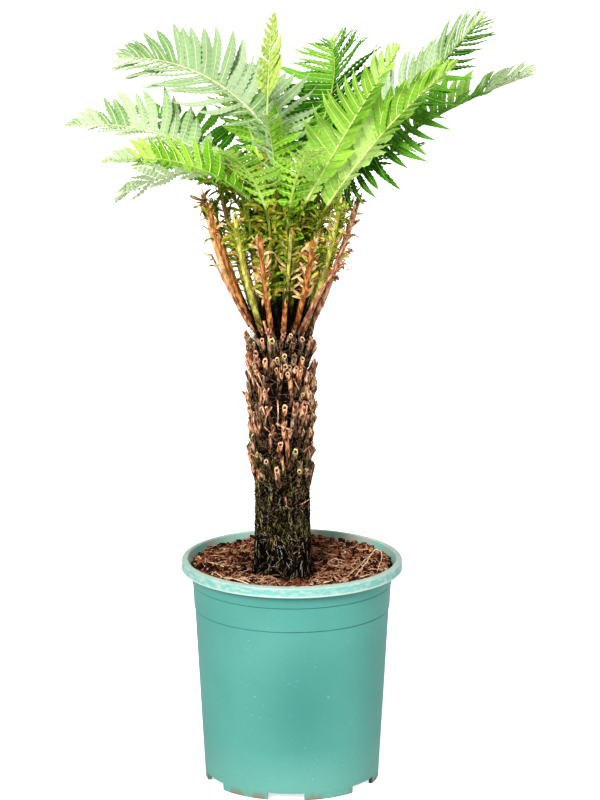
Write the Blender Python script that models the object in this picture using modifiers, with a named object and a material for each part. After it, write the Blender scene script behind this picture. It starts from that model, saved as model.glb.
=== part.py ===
"""Silver lady fern in its nursery pot: pot, compost, trunk, cut leaf stalks and fronds, each its own solid.

Metres, +Z up. X runs to the right in the photo and -Y towards the camera. The origin is under the pot's middle.
"""

import math
from collections import namedtuple

import bpy
from mathutils import Vector
from mathutils.bvhtree import BVHTree

# Driving dimensions of the pot
POT_HEIGHT = 0.320
RIM_RADIUS = 0.155
RIM_MOUTH_RADIUS = 0.1468
RIM_FACE = 0.0155
NECK_RADIUS = 0.1415
BASE_RADIUS = 0.1225
WALL = 0.0026
POT_EDGE = 0.0020
STEP_DEPTH = 0.0009
STEP_SLOPE = 0.0008
UPPER_STEP_HEIGHT = 0.286
LOWER_STEP_HEIGHT = 0.251
FOOT_HEIGHT = 0.011
FOOT_WIDTH = 0.006
PAD_RADIUS = 0.030
NOTCH_COUNT = 6
NOTCH_WIDTH = 0.051
NOTCH_PHASE = math.radians(-94)
POT_STEPS = 48
MERGE_DISTANCE = 0.00001

# Driving dimensions of the compost
GAP = 0.0003
SOIL_LEVEL = 0.295
SOIL_FLAT_RADIUS = 0.058
SOIL_CREST = 0.0025
SOIL_CREST_RADIUS = 0.090

# Driving dimensions of the trunk: a flared foot, a plain lower part, then rows of cut leaf bases
TRUNK_FOOT_X = -0.0125
TRUNK_TOP_X = -0.0160
TRUNK_TOP = 0.655
TRUNK_RADII = (
    (0.000, 0.0410),
    (0.030, 0.0368),
    (0.085, 0.0350),
    (0.122, 0.0345),
)
CLAD_START = 0.137
CLAD_RADIUS = 0.0392
STUB_ROWS = 9
STUBS_AROUND = 13
STUB_RELIEF = 0.0066
STUB_HEIGHT_SHARE = 0.92
STUB_HOLLOW = 0.0020
LOWEST_STUB_SWELL = 0.6
TRUNK_TOP_RADIUS = 0.0460

# Driving dimensions of the cut leaf stalks: two rings of limbs that bow outwards, each a little unlike the next
STALK_BEVEL_RESOLUTION = 1
STALK_SPANS = 6
STALK_SEAT = 0.0015
STALK_TAPER = 0.25
STALK_BEND_AT = 0.4
LENGTH_PACE = 2.4
LEAN_PACE = 1.7
TIP_PACE = 2.1

StalkRing = namedtuple("StalkRing", "name count turn ring radius length length_swing leans lean_swings")
STALK_RINGS = (
    StalkRing("outer_stalk", 16, 0.25, 0.0413, 0.0042, 0.188, 0.014, (28, 21, 12), (3, 0, 4)),
    StalkRing("inner_stalk", 11, 0.60, 0.0325, 0.0037, 0.135, 0.025, (16, 17, 14), (0, 0, 3)),
)

# Driving dimensions of a frond. The shares are of the stem's thickness.
STEM_SIZE = 0.0068
STEM_SEGMENTS = 5
STEM_STRAIGHT = 0.7
PINNA_PAIRS = 18
RIB_HALF_WIDTH = 0.0020
TIP_HALF_WIDTH = 0.0006
RIB_SHARE = 0.44
PINNA_SHARE = 0.20
TIP_SHARE = 0.15
DROOP = 0.16
PINNA_SHOULDER = 0.5
PINNA_GAP = 0.0008
FOOT_LOBE = 0.26
LOBE_RISE = 2.3
TIP_FALL_POWER = 0.62
TIP_FALL_GAIN = 1.38
CLEARANCE = 0.0010
REACHES = (1.0, 0.75, 0.5, 0.3)
LIFTS = (0.0, 14.0, -14.0)
FOOT_RINGS = {"heart": 0.003, "inner": 0.0125, "outer": 0.0230}

# A leaflet's angle to the rib, in degrees, at the foot and at the tip of the blade
PINNA_ANGLES = {
    "young": (60, 40),
    "silver": (80, 42),
    "bright": (84, 42),
    "mid": (84, 42),
    "dark": (88, 42),
}

Frond = namedtuple(
    "Frond",
    "name azimuth ring stem lean_foot lean_blade lean_tip blade half_width roll fold bend tint",
)

# One row a frond: degrees for angles, metres for lengths. Azimuth 0 points right and 90 away from the camera.
FRONDS = (
    Frond("frond_right_high", 4, "outer", 0.180, 12, 35, 43, 0.330, 0.082, -50, 22, 2, "dark"),
    Frond("frond_left_high", 156, "heart", 0.280, -3, 40, 98, 0.250, 0.081, 46, 22, 2, "silver"),
    Frond("frond_left_long", 178, "outer", 0.250, 9, 57, 98, 0.218, 0.068, 26, 22, 2, "silver"),
    Frond("frond_left_front", 220, "outer", 0.190, 3, 49, 93, 0.285, 0.056, 26, 22, 0, "bright"),
    Frond("frond_right_low", 24, "outer", 0.218, 13, 57, 78, 0.318, 0.064, -10, 50, 2, "dark"),
    Frond("frond_right_young", 306, "outer", 0.192, 7, 38, 35, 0.300, 0.052, 32, 22, 18, "young"),
    Frond("frond_right_front", 325, "outer", 0.188, 14, 35, 52, 0.305, 0.064, 16, 48, 0, "young"),
    Frond("frond_left_low", 196, "outer", 0.243, 9, 76, 126, 0.145, 0.052, -40, 22, 0, "silver"),
    Frond("frond_back_right", 54, "inner", 0.235, 10, 36, 72, 0.230, 0.090, 22, 22, 50, "mid"),
    Frond("frond_young_upright", 186, "inner", 0.250, 2, 0, -5, 0.190, 0.020, 80, 22, 0, "young"),
    Frond("frond_back_left", 84, "inner", 0.225, 9, 24, 85, 0.200, 0.066, 0, 22, 66, "mid"),
    Frond("frond_back", 98, "outer", 0.205, 8, 50, 108, 0.270, 0.066, 0, 22, 0, "mid"),
    Frond("frond_back_far_left", 136, "outer", 0.215, 9, 52, 105, 0.270, 0.066, 0, 22, 0, "silver"),
    Frond("frond_back_far_right", 66, "outer", 0.210, 9, 50, 100, 0.275, 0.066, 0, 22, 0, "dark"),
    Frond("frond_right_back_low", 42, "outer", 0.190, 11, 60, 92, 0.190, 0.062, 0, 22, 0, "dark"),
    Frond("frond_front", 262, "inner", 0.205, 3, 20, 64, 0.170, 0.044, 0, 22, 0, "bright"),
    Frond("frond_front_left", 246, "outer", 0.186, 8, 34, 76, 0.190, 0.046, 0, 22, 0, "bright"),
    Frond("frond_front_right", 284, "outer", 0.186, 8, 32, 74, 0.180, 0.046, 0, 22, 0, "mid"),
    Frond("frond_right_inner", 346, "inner", 0.205, 9, 36, 62, 0.200, 0.056, -40, 22, 0, "dark"),
    Frond("frond_back_left_low", 117, "outer", 0.190, 11, 62, 112, 0.240, 0.060, 0, 22, 0, "dark"),
    Frond("frond_left_back_low", 156, "outer", 0.200, 11, 62, 98, 0.160, 0.060, 10, 22, 0, "mid"),
    Frond("frond_back_inner", 116, "inner", 0.230, 6, 34, 85, 0.190, 0.054, 0, 22, 0, "bright"),
    Frond("frond_right_back_inner", 24, "inner", 0.225, 8, 34, 86, 0.210, 0.056, -10, 22, 0, "mid"),
)

# Colour, roughness and metallic value of each material
MATERIALS = {
    "pot_plastic": ((0.13, 0.46, 0.38), 0.55, 0.0),
    "compost": ((0.12, 0.06, 0.035), 0.95, 0.0),
    "trunk_bark": ((0.10, 0.06, 0.035), 0.9, 0.0),
    "cut_stalk": ((0.42, 0.24, 0.08), 0.8, 0.0),
    "silver": ((0.38, 0.60, 0.28), 0.5, 0.0),
    "bright": ((0.20, 0.45, 0.05), 0.5, 0.0),
    "young": ((0.45, 0.65, 0.10), 0.5, 0.0),
    "mid": ((0.14, 0.38, 0.06), 0.5, 0.0),
    "dark": ((0.04, 0.16, 0.03), 0.5, 0.0),
}


def clear_scene():
    for old in list(bpy.data.objects):
        bpy.data.objects.remove(old)


def material(name):
    colour, roughness, metallic = MATERIALS[name]
    made = bpy.data.materials.get(name) or bpy.data.materials.new(name)
    made.use_nodes = True
    shader = made.node_tree.nodes["Principled BSDF"]
    shader.inputs["Base Color"].default_value = (*colour, 1.0)
    shader.inputs["Roughness"].default_value = roughness
    shader.inputs["Metallic"].default_value = metallic
    return made


def add_to_plant(made, material_name, plant):
    """Gives a piece its material and puts it in the plant's collection, under the plant's empty."""
    made.data.materials.append(material(material_name))
    plant.objects.link(made)
    made.parent = plant.objects["plant_foot"]
    return made


def add_mesh(name, points, edges, faces, material_name, plant):
    mesh = bpy.data.meshes.new(name)
    mesh.from_pydata(points, edges, faces)
    mesh.validate()
    return add_to_plant(bpy.data.objects.new(name, mesh), material_name, plant)


def turned(name, profile, material_name, plant):
    """A profile of (radius, height) turned round Z. It runs up the inside and down the outer side."""
    points = [(radius, 0.0, height) for radius, height in profile]
    edges = [(i, i + 1) for i in range(len(points) - 1)]
    made = add_mesh(name, points, edges, [], material_name, plant)
    screw = made.modifiers.new("Turn", "SCREW")
    screw.axis = "Z"
    screw.steps = POT_STEPS
    screw.render_steps = POT_STEPS
    screw.use_merge_vertices = True
    screw.merge_threshold = MERGE_DISTANCE
    return made


def outer_wall_radius(height):
    """The pot's outer wall between its steps, which tapers evenly from the neck to the base."""
    share = height / (POT_HEIGHT - RIM_FACE)
    radius = BASE_RADIUS + (NECK_RADIUS - BASE_RADIUS) * share
    if height < UPPER_STEP_HEIGHT:
        radius -= STEP_DEPTH
    if height < LOWER_STEP_HEIGHT:
        radius -= STEP_DEPTH
    return radius + 2 * STEP_DEPTH * (1 - share)


def inner_wall_radius(height):
    share = height / (POT_HEIGHT - RIM_FACE)
    return BASE_RADIUS + (NECK_RADIUS - BASE_RADIUS) * share - WALL - 2 * STEP_DEPTH


def make_pot(plant, cutters):
    rim_low = POT_HEIGHT - RIM_FACE
    floor_top = FOOT_HEIGHT + WALL
    edge = POT_EDGE
    step = STEP_SLOPE
    profile = [
        (0.0, floor_top),
        (inner_wall_radius(floor_top), floor_top),
        (inner_wall_radius(rim_low - edge), rim_low - edge),
        (RIM_MOUTH_RADIUS - edge, POT_HEIGHT - 2 * edge),
        (RIM_MOUTH_RADIUS, POT_HEIGHT),
        (RIM_RADIUS - edge, POT_HEIGHT),
        (RIM_RADIUS, POT_HEIGHT - edge),
        (RIM_RADIUS - edge / 4, rim_low + 2 * edge),
        (RIM_RADIUS + edge / 4, rim_low + edge / 2),
        (RIM_RADIUS - edge, rim_low),
        (NECK_RADIUS + edge / 2, rim_low),
        (outer_wall_radius(UPPER_STEP_HEIGHT), UPPER_STEP_HEIGHT),
        (outer_wall_radius(UPPER_STEP_HEIGHT - step), UPPER_STEP_HEIGHT - step),
        (outer_wall_radius(LOWER_STEP_HEIGHT), LOWER_STEP_HEIGHT),
        (outer_wall_radius(LOWER_STEP_HEIGHT - step), LOWER_STEP_HEIGHT - step),
        (outer_wall_radius(FOOT_HEIGHT + edge), FOOT_HEIGHT + edge),
        (BASE_RADIUS, edge / 2),
        (BASE_RADIUS - edge / 2, 0.0),
        (BASE_RADIUS - FOOT_WIDTH, 0.0),
        (BASE_RADIUS - FOOT_WIDTH, FOOT_HEIGHT),
        (PAD_RADIUS + edge, FOOT_HEIGHT),
        (PAD_RADIUS, 0.0),
        (0.0, 0.0),
    ]
    pot = turned("pot", profile, "pot_plastic", plant)
    for number in range(NOTCH_COUNT):
        bpy.ops.mesh.primitive_cube_add(size=1.0)
        cutter = bpy.context.active_object
        cutter.name = f"notch_cutter_{number}"
        angle = NOTCH_PHASE + number * math.tau / NOTCH_COUNT
        cutter.scale = (4 * FOOT_WIDTH, NOTCH_WIDTH, 2 * FOOT_HEIGHT)
        cutter.rotation_euler = (0.0, 0.0, angle)
        cutter.location = (BASE_RADIUS * math.cos(angle), BASE_RADIUS * math.sin(angle), 0.0)
        move_to(cutter, cutters)
        hide(cutter)
        notch = pot.modifiers.new(cutter.name, "BOOLEAN")
        notch.operation = "DIFFERENCE"
        notch.object = cutter
    return pot


def move_to(made, collection):
    for old in list(made.users_collection):
        old.objects.unlink(made)
    collection.objects.link(made)


def hide(made):
    made.hide_render = True
    made.display_type = "WIRE"


def make_compost(plant):
    bottom = FOOT_HEIGHT + WALL + GAP
    edge_level = SOIL_LEVEL + SOIL_CREST / 2
    profile = [
        (0.0, SOIL_LEVEL),
        (SOIL_FLAT_RADIUS, SOIL_LEVEL),
        (SOIL_CREST_RADIUS, SOIL_LEVEL + SOIL_CREST),
        (inner_wall_radius(edge_level) - GAP, edge_level),
        (inner_wall_radius(bottom) - GAP, bottom),
        (0.0, bottom),
    ]
    return turned("compost", profile, "compost", plant)


def trunk_centre_x(height):
    share = (height - SOIL_LEVEL) / (TRUNK_TOP - SOIL_LEVEL)
    return TRUNK_FOOT_X + (TRUNK_TOP_X - TRUNK_FOOT_X) * share


def trunk_rings():
    """Rings of (height, inner radius, outer radius, phase): plain at the foot, then rows of cut stubs."""
    foot = SOIL_LEVEL + GAP
    rings = [(foot + height, radius, radius, 0.0) for height, radius in TRUNK_RADII]
    row_height = (TRUNK_TOP - foot - CLAD_START) / STUB_ROWS
    for row in range(STUB_ROWS):
        low = foot + CLAD_START + row * row_height
        high = low + row_height * STUB_HEIGHT_SHARE
        phase = row / 2
        swell = LOWEST_STUB_SWELL + (1 - LOWEST_STUB_SWELL) * min(1.0, row / 2)
        outer = CLAD_RADIUS + STUB_RELIEF * swell
        rings.append((low, CLAD_RADIUS - STUB_HOLLOW, CLAD_RADIUS, phase))
        rings.append((high, CLAD_RADIUS, outer, phase))
    rings.append((TRUNK_TOP, TRUNK_TOP_RADIUS, TRUNK_TOP_RADIUS, 0.0))
    return rings


def make_trunk(plant):
    """A loft through the rings, whose corners stand in and out by turns and change places from row to row."""
    points = []
    faces = []
    columns = 2 * STUBS_AROUND
    rings = trunk_rings()
    for height, inner, outer, phase in rings:
        for column in range(columns):
            angle = math.tau * (column / columns + phase / STUBS_AROUND)
            radius = outer if column % 2 else inner
            x = trunk_centre_x(height) + radius * math.cos(angle)
            points.append((x, radius * math.sin(angle), height))
    for ring in range(len(rings) - 1):
        for column in range(columns):
            after = (column + 1) % columns
            low = ring * columns
            high = low + columns
            faces.append((low + column, low + after, high + after, high + column))
    faces.append(tuple(reversed(range(columns))))
    last = (len(rings) - 1) * columns
    faces.append(tuple(range(last, last + columns)))
    return add_mesh("trunk", points, [], faces, "trunk_bark", plant)


def direction(azimuth, lean):
    across = math.sin(lean)
    return Vector((across * math.cos(azimuth), across * math.sin(azimuth), math.cos(lean)))


def keyed(keys, place):
    """The value at a place along keys of (place, value), straight between them."""
    for (start, low), (end, high) in zip(keys, keys[1:]):
        if place <= end:
            return low + (high - low) * (place - start) / (end - start)
    return keys[-1][1]


def walk(foot, azimuth_keys, lean_keys, length, count):
    """Points along a limb, with the azimuth and lean at each, from its foot to its tip."""
    path = []
    here = Vector(foot)
    for step in range(count + 1):
        place = step / count
        azimuth = keyed(azimuth_keys, place)
        lean = keyed(lean_keys, place)
        path.append((here.copy(), azimuth, lean))
        middle = min(1.0, place + 0.5 / count)
        here += direction(keyed(azimuth_keys, middle), keyed(lean_keys, middle)) * (length / count)
    return path


def foot_on_trunk(ring, azimuth):
    return (TRUNK_TOP_X + ring * math.cos(azimuth), ring * math.sin(azimuth), TRUNK_TOP + GAP)


def make_stalk(name, plan, azimuth, length, leans, plant):
    """A cut leaf stalk: a tapering round limb that stands on the trunk's top and leans out, turned to its azimuth."""
    lean_keys = (
        (0.0, math.radians(leans[0])),
        (STALK_BEND_AT, math.radians(leans[1])),
        (1.0, math.radians(leans[2])),
    )
    path = walk((0.0, 0.0, STALK_SEAT), ((0.0, 0.0), (1.0, 0.0)), lean_keys, length, STALK_SPANS)
    centres = [Vector((0.0, 0.0, 0.0))] + [here for here, _, _ in path]
    curve = bpy.data.curves.new(name, "CURVE")
    curve.dimensions = "3D"
    curve.bevel_depth = plan.radius
    curve.bevel_resolution = STALK_BEVEL_RESOLUTION
    curve.use_fill_caps = True
    spline = curve.splines.new("POLY")
    spline.points.add(len(centres) - 1)
    for number, (point, centre) in enumerate(zip(spline.points, centres)):
        point.co = (*centre, 1.0)
        point.radius = 1 - STALK_TAPER * number / (len(centres) - 1)
    made = add_to_plant(bpy.data.objects.new(name, curve), "cut_stalk", plant)
    made.location = foot_on_trunk(plan.ring, azimuth)
    made.rotation_euler = (0.0, 0.0, azimuth)
    return made


def make_stalks(plant):
    made = []
    for plan in STALK_RINGS:
        for number in range(plan.count):
            azimuth = math.tau * (number + plan.turn) / plan.count
            length = plan.length + plan.length_swing * math.sin(number * LENGTH_PACE)
            swings = (math.sin(number * LEAN_PACE), 0.0, math.cos(number * TIP_PACE))
            leans = [lean + most * swing for lean, most, swing in zip(plan.leans, plan.lean_swings, swings)]
            made.append(make_stalk(f"{plan.name}_{number + 1:02d}", plan, azimuth, length, leans, plant))
    return made


def foot_turns():
    """Each frond's turn round its foot ring: in the order of their azimuths, with even spaces."""
    turns = {}
    for ring in FOOT_RINGS:
        plans = sorted((plan for plan in FRONDS if plan.ring == ring), key=lambda plan: plan.azimuth)
        step = math.tau / len(plans)
        offsets = [math.radians(plan.azimuth) - rank * step for rank, plan in enumerate(plans)]
        phase = sum(offsets) / len(offsets)
        for rank, plan in enumerate(plans):
            turns[plan.name] = phase + rank * step
    return turns


def pinna_length(place):
    """A leaflet's share of the longest one: short lobes at the foot, longest at the middle, a drawn-out tip."""
    rise = FOOT_LOBE + LOBE_RISE * place
    fall = TIP_FALL_GAIN * (1 - place) ** TIP_FALL_POWER
    return min(rise, fall, 1.0)


def frond_path(plan):
    """The frond's midline from its foot on the trunk's top to its tip, first the stem and then the blade."""
    azimuth = math.radians(plan.azimuth)
    foot = Vector(foot_on_trunk(FOOT_RINGS[plan.ring], foot_turns()[plan.name]))
    lean_foot = math.radians(plan.lean_foot)
    foot.z += STEM_SIZE / 2 * abs(math.sin(lean_foot))
    lean_blade = math.radians(plan.lean_blade)
    lean_tip = math.radians(plan.lean_tip)
    stem = walk(
        foot,
        ((0.0, azimuth), (1.0, azimuth)),
        ((0.0, lean_foot), (STEM_STRAIGHT, lean_foot), (1.0, lean_blade)),
        plan.stem,
        STEM_SEGMENTS,
    )
    end = azimuth + math.radians(plan.bend)
    blade = walk(
        stem[-1][0],
        ((0.0, azimuth), (1.0, end)),
        ((0.0, lean_blade), (1.0, lean_tip)),
        plan.blade,
        PINNA_PAIRS,
    )
    return stem[:-1] + blade


def frame_at(turn, lean, roll):
    """Along, across and face directions at a point of a frond."""
    along = direction(turn, lean)
    across = Vector((math.sin(turn), -math.cos(turn), 0.0))
    face = across.cross(along)
    tilted = across * math.cos(roll) + face * math.sin(roll)
    return along, tilted, tilted.cross(along)


def rib_points(plan):
    """For each point down the frond: the left and right edge of its rib, its frame and its place on the blade."""
    rows = []
    for step, (here, turn, lean) in enumerate(frond_path(plan)):
        place = max(0.0, (step - STEM_SEGMENTS) / PINNA_PAIRS)
        twist = min(1.0, step / STEM_SEGMENTS)
        along, across, face = frame_at(turn, lean, math.radians(plan.roll) * twist)
        half = RIB_HALF_WIDTH + (TIP_HALF_WIDTH - RIB_HALF_WIDTH) * place
        if step < STEM_SEGMENTS:
            half = STEM_SIZE / 2 + (RIB_HALF_WIDTH - STEM_SIZE / 2) * step / STEM_SEGMENTS
        rows.append((here - across * half, here + across * half, along, across, face, place))
    return rows


def pinna_corners(rows, row, side, plan, reach, lift):
    """A leaflet's four corners: two on the rib, one on its far shoulder and its tip."""
    near = rows[row][0 if side < 0 else 1]
    far = rows[row + 1][0 if side < 0 else 1]
    along, across, face, place = rows[row][2:]
    at_foot, at_tip = PINNA_ANGLES[plan.tint]
    forward = math.radians(at_foot + (at_tip - at_foot) * place)
    fold = math.radians(plan.fold) + lift
    outward = across * side * math.cos(fold) + face * math.sin(fold)
    way = along * math.cos(forward) + outward * math.sin(forward)
    length = plan.half_width * pinna_length(place + 0.5 / PINNA_PAIRS) * reach
    middle = (near + far) / 2
    tip = middle + way * length - face * (DROOP * length)
    shoulder = far + way * (PINNA_SHOULDER * length) - along * PINNA_GAP
    return near, far, shoulder, tip


def prism_of(corners, face):
    """A closed prism round a leaflet, thick enough to keep it clear of its neighbours."""
    lift = face * (STEM_SIZE * PINNA_SHARE / 2 + CLEARANCE)
    points = [corner + lift for corner in corners] + [corner - lift for corner in corners]
    polygons = [(0, 1, 2), (0, 2, 3), (4, 6, 5), (4, 7, 6)]
    for start in range(4):
        end = (start + 1) % 4
        polygons.append((start, start + 4, end + 4))
        polygons.append((start, end + 4, end))
    return BVHTree.FromPolygons(points, polygons)


def tree_of(made):
    """The evaluated surface of an object, in the plant's own frame."""
    graph = bpy.context.evaluated_depsgraph_get()
    evaluated = made.evaluated_get(graph)
    mesh = evaluated.to_mesh()
    points = [made.matrix_world @ vertex.co for vertex in mesh.vertices]
    polygons = [tuple(polygon.vertices) for polygon in mesh.polygons]
    tree = BVHTree.FromPolygons(points, polygons)
    evaluated.to_mesh_clear()
    return tree


def make_frond(plan, blocked, plant):
    """A frond in one sheet, cut to the rib between its leaflets, then thickened. A leaflet in the way is shortened."""
    rows = rib_points(plan)
    points = []
    shares = []
    for left, right, _, _, _, place in rows:
        points.extend((left, right))
    for row in range(len(rows)):
        rib = RIB_SHARE + (TIP_SHARE - RIB_SHARE) * rows[row][5]
        if row < STEM_SEGMENTS:
            rib = 1.0 + (RIB_SHARE - 1.0) * row / STEM_SEGMENTS
        shares.extend((rib, rib))
    faces = [(2 * row, 2 * row + 1, 2 * row + 3, 2 * row + 2) for row in range(len(rows) - 1)]
    tries = [(reach, lift) for reach in REACHES for lift in LIFTS]
    for row in range(STEM_SEGMENTS, len(rows) - 1):
        for side in (-1, 1):
            for reach, lift in tries:
                corners = pinna_corners(rows, row, side, plan, reach, math.radians(lift))
                prism = prism_of(corners, rows[row][4])
                if not any(prism.overlap(tree) for tree in blocked):
                    break
            else:
                continue
            first = len(points)
            points.extend(corners[2:])
            shares.extend((PINNA_SHARE, TIP_SHARE))
            near = 2 * row if side < 0 else 2 * row + 1
            corner_order = (near, near + 2, first, first + 1)
            faces.append(corner_order if side < 0 else tuple(reversed(corner_order)))
    foot = points[0]
    made = add_mesh(plan.name, [point - foot for point in points], [], faces, plan.tint, plant)
    made.location = foot
    group = made.vertex_groups.new(name="thickness")
    for number, share in enumerate(shares):
        group.add([number], share, "REPLACE")
    thicken = made.modifiers.new("Thicken", "SOLIDIFY")
    thicken.thickness = STEM_SIZE
    thicken.offset = 0.0
    thicken.vertex_group = group.name
    thicken.thickness_vertex_group = 0.0
    return made


def make_fronds(stalks, plant):
    """Every stem and rib is in the way of every leaflet, and so is each frond that is already made."""
    bones = {}
    for plan in FRONDS:
        rows = rib_points(plan)
        points = []
        for left, right, _, _, face, place in rows:
            thick = face * (STEM_SIZE / 2 if place == 0.0 else STEM_SIZE * RIB_SHARE / 2)
            points.extend((left + thick, right + thick, right - thick, left - thick))
        polygons = []
        for row in range(len(rows) - 1):
            for corner in range(4):
                after = (corner + 1) % 4
                low = 4 * row
                polygons.append((low + corner, low + after, low + after + 4, low + corner + 4))
        bones[plan.name] = BVHTree.FromPolygons(points, polygons)
    bpy.context.view_layer.update()
    blocked = [tree_of(stalk) for stalk in stalks]
    for plan in FRONDS:
        others = [tree for name, tree in bones.items() if name != plan.name]
        made = make_frond(plan, blocked + others, plant)
        bpy.context.view_layer.update()
        blocked.append(tree_of(made))


def main():
    clear_scene()
    scene = bpy.context.scene
    plant = bpy.data.collections.new("silver_lady_fern")
    cutters = bpy.data.collections.new("cutters")
    scene.collection.children.link(plant)
    scene.collection.children.link(cutters)
    plant.objects.link(bpy.data.objects.new("plant_foot", None))
    make_pot(plant, cutters)
    make_compost(plant)
    make_trunk(plant)
    stalks = make_stalks(plant)
    make_fronds(stalks, plant)


main()
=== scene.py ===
"""Silver lady fern in its nursery pot: the looks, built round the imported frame.

Metres, +Z up. X runs to the right in the photo, and the camera stands on the -Y side.
"""

import math
from collections import namedtuple

import bpy
import numpy as np
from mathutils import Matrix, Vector
from mathutils.bvhtree import BVHTree


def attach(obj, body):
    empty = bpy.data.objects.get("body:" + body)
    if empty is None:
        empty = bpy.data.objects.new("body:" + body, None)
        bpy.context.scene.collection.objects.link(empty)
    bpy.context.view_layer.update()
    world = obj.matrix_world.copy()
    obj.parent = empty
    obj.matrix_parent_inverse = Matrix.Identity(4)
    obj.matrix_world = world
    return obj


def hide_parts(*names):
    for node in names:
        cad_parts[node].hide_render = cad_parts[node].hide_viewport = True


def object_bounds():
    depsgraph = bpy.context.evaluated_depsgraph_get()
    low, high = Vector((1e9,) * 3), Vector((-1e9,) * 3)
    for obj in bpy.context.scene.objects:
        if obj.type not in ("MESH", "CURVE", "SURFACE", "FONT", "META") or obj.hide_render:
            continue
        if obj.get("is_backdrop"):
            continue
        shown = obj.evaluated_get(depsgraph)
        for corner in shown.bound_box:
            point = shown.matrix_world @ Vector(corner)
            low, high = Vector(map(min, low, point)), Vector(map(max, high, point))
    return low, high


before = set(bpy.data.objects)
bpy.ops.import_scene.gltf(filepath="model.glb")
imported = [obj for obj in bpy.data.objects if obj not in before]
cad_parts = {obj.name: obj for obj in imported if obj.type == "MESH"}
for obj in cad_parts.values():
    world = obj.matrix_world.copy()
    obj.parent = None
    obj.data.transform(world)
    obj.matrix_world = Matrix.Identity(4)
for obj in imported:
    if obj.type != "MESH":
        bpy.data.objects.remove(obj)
cad_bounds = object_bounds()

# Studio
# A catalogue picture on plain white, taken with a long lens from a little above the plant.
# The pot stands on a pale floor under a soft sky, lit by one broad lamp high on the left
# and a weaker one low on the right, both far enough away to light floor and plant evenly.
PHOTO_WIDTH = 600
PHOTO_HEIGHT = 800
FOCAL_PIXELS = 5173
SENSOR_HEIGHT = 36.0
CAMERA_DISTANCE = 7.0
CAMERA_HEIGHT = 2.33
AIM_HEIGHT = 0.545
POT_AXIS_PIXEL = 292
FRAME_DROP_PIXELS = 2.1
FLOOR_SIZE = 60.0
FLOOR_GREY = (0.8, 0.8, 0.8, 1.0)
WHITE = (1.0, 1.0, 1.0, 1.0)
SKY_GLOW = 0.36
BACKDROP_GLOW = 1.0
FLOOR_GLOW = 0.62

camera_pitch = math.atan2(CAMERA_HEIGHT - AIM_HEIGHT, CAMERA_DISTANCE)
bpy.ops.object.camera_add(
    location=(0.0, -CAMERA_DISTANCE, CAMERA_HEIGHT),
    rotation=(math.pi / 2 - camera_pitch, 0.0, 0.0),
)
camera = bpy.context.active_object
camera.data.sensor_fit = "VERTICAL"
camera.data.sensor_height = SENSOR_HEIGHT
camera.data.lens = FOCAL_PIXELS * SENSOR_HEIGHT / PHOTO_HEIGHT
camera.data.shift_x = (PHOTO_WIDTH / 2 - POT_AXIS_PIXEL) / PHOTO_HEIGHT
camera.data.shift_y = FRAME_DROP_PIXELS / PHOTO_HEIGHT
bpy.context.scene.camera = camera
bpy.context.scene.view_settings.view_transform = "Standard"
bpy.context.scene.view_settings.look = "Medium High Contrast"


def feed(tree, socket, value):
    """Links a socket to another node's socket, or sets its plain value."""
    if isinstance(value, bpy.types.NodeSocket):
        tree.links.new(value, socket)
    else:
        socket.default_value = value


def add_node(tree, kind, inputs=None, **settings):
    """Adds a shader node with its settings, each input given a plain value or fed by a socket."""
    made = tree.nodes.new(f"ShaderNode{kind}")
    for setting, value in settings.items():
        setattr(made, setting, value)
    for socket, value in (inputs or {}).items():
        feed(tree, made.inputs[socket], value)
    return made


sky = bpy.data.worlds.new("studio_sky")
sky.use_nodes = True
sky_tree = sky.node_tree
sky_glow = sky_tree.nodes["Background"]
sky_glow.inputs["Color"].default_value = WHITE
sky_glow.inputs["Strength"].default_value = SKY_GLOW
backdrop = add_node(sky_tree, "Background", {"Color": WHITE, "Strength": BACKDROP_GLOW})
seen = add_node(sky_tree, "LightPath")
chosen = add_node(sky_tree, "MixShader", {
    0: seen.outputs["Is Camera Ray"], 1: sky_glow.outputs[0], 2: backdrop.outputs[0],
})
feed(sky_tree, sky_tree.nodes["World Output"].inputs["Surface"], chosen.outputs[0])
bpy.context.scene.world = sky


def hang_lamp(name, place, softness, strength):
    """A far softbox that faces the middle of the plant and looks softness degrees wide from there."""
    turn = (Vector((0.0, 0.0, AIM_HEIGHT)) - Vector(place)).to_track_quat("-Z", "Y").to_euler()
    bpy.ops.object.light_add(type="SUN", location=place, rotation=turn)
    lamp = bpy.context.active_object
    lamp.name = name
    lamp.data.angle = math.radians(softness)
    lamp.data.energy = strength


hang_lamp("lamp_left", (-2.3, -5.0, 3.6), softness=20, strength=3.2)
hang_lamp("lamp_right", (3.4, -2.4, 3.0), softness=30, strength=1.15)


def new_finish(name, roughness, gloss=0.5):
    """A new material and its Principled shader."""
    made = bpy.data.materials.new(name)
    made.use_nodes = True
    shader = made.node_tree.nodes["Principled BSDF"]
    shader.inputs["Roughness"].default_value = roughness
    shader.inputs["Specular IOR Level"].default_value = gloss
    return made, shader


def both(tree, first, second):
    """The product of two masks, or of a mask and a share."""
    return add_node(tree, "Math", {0: first, 1: second}, operation="MULTIPLY").outputs[0]


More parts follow.
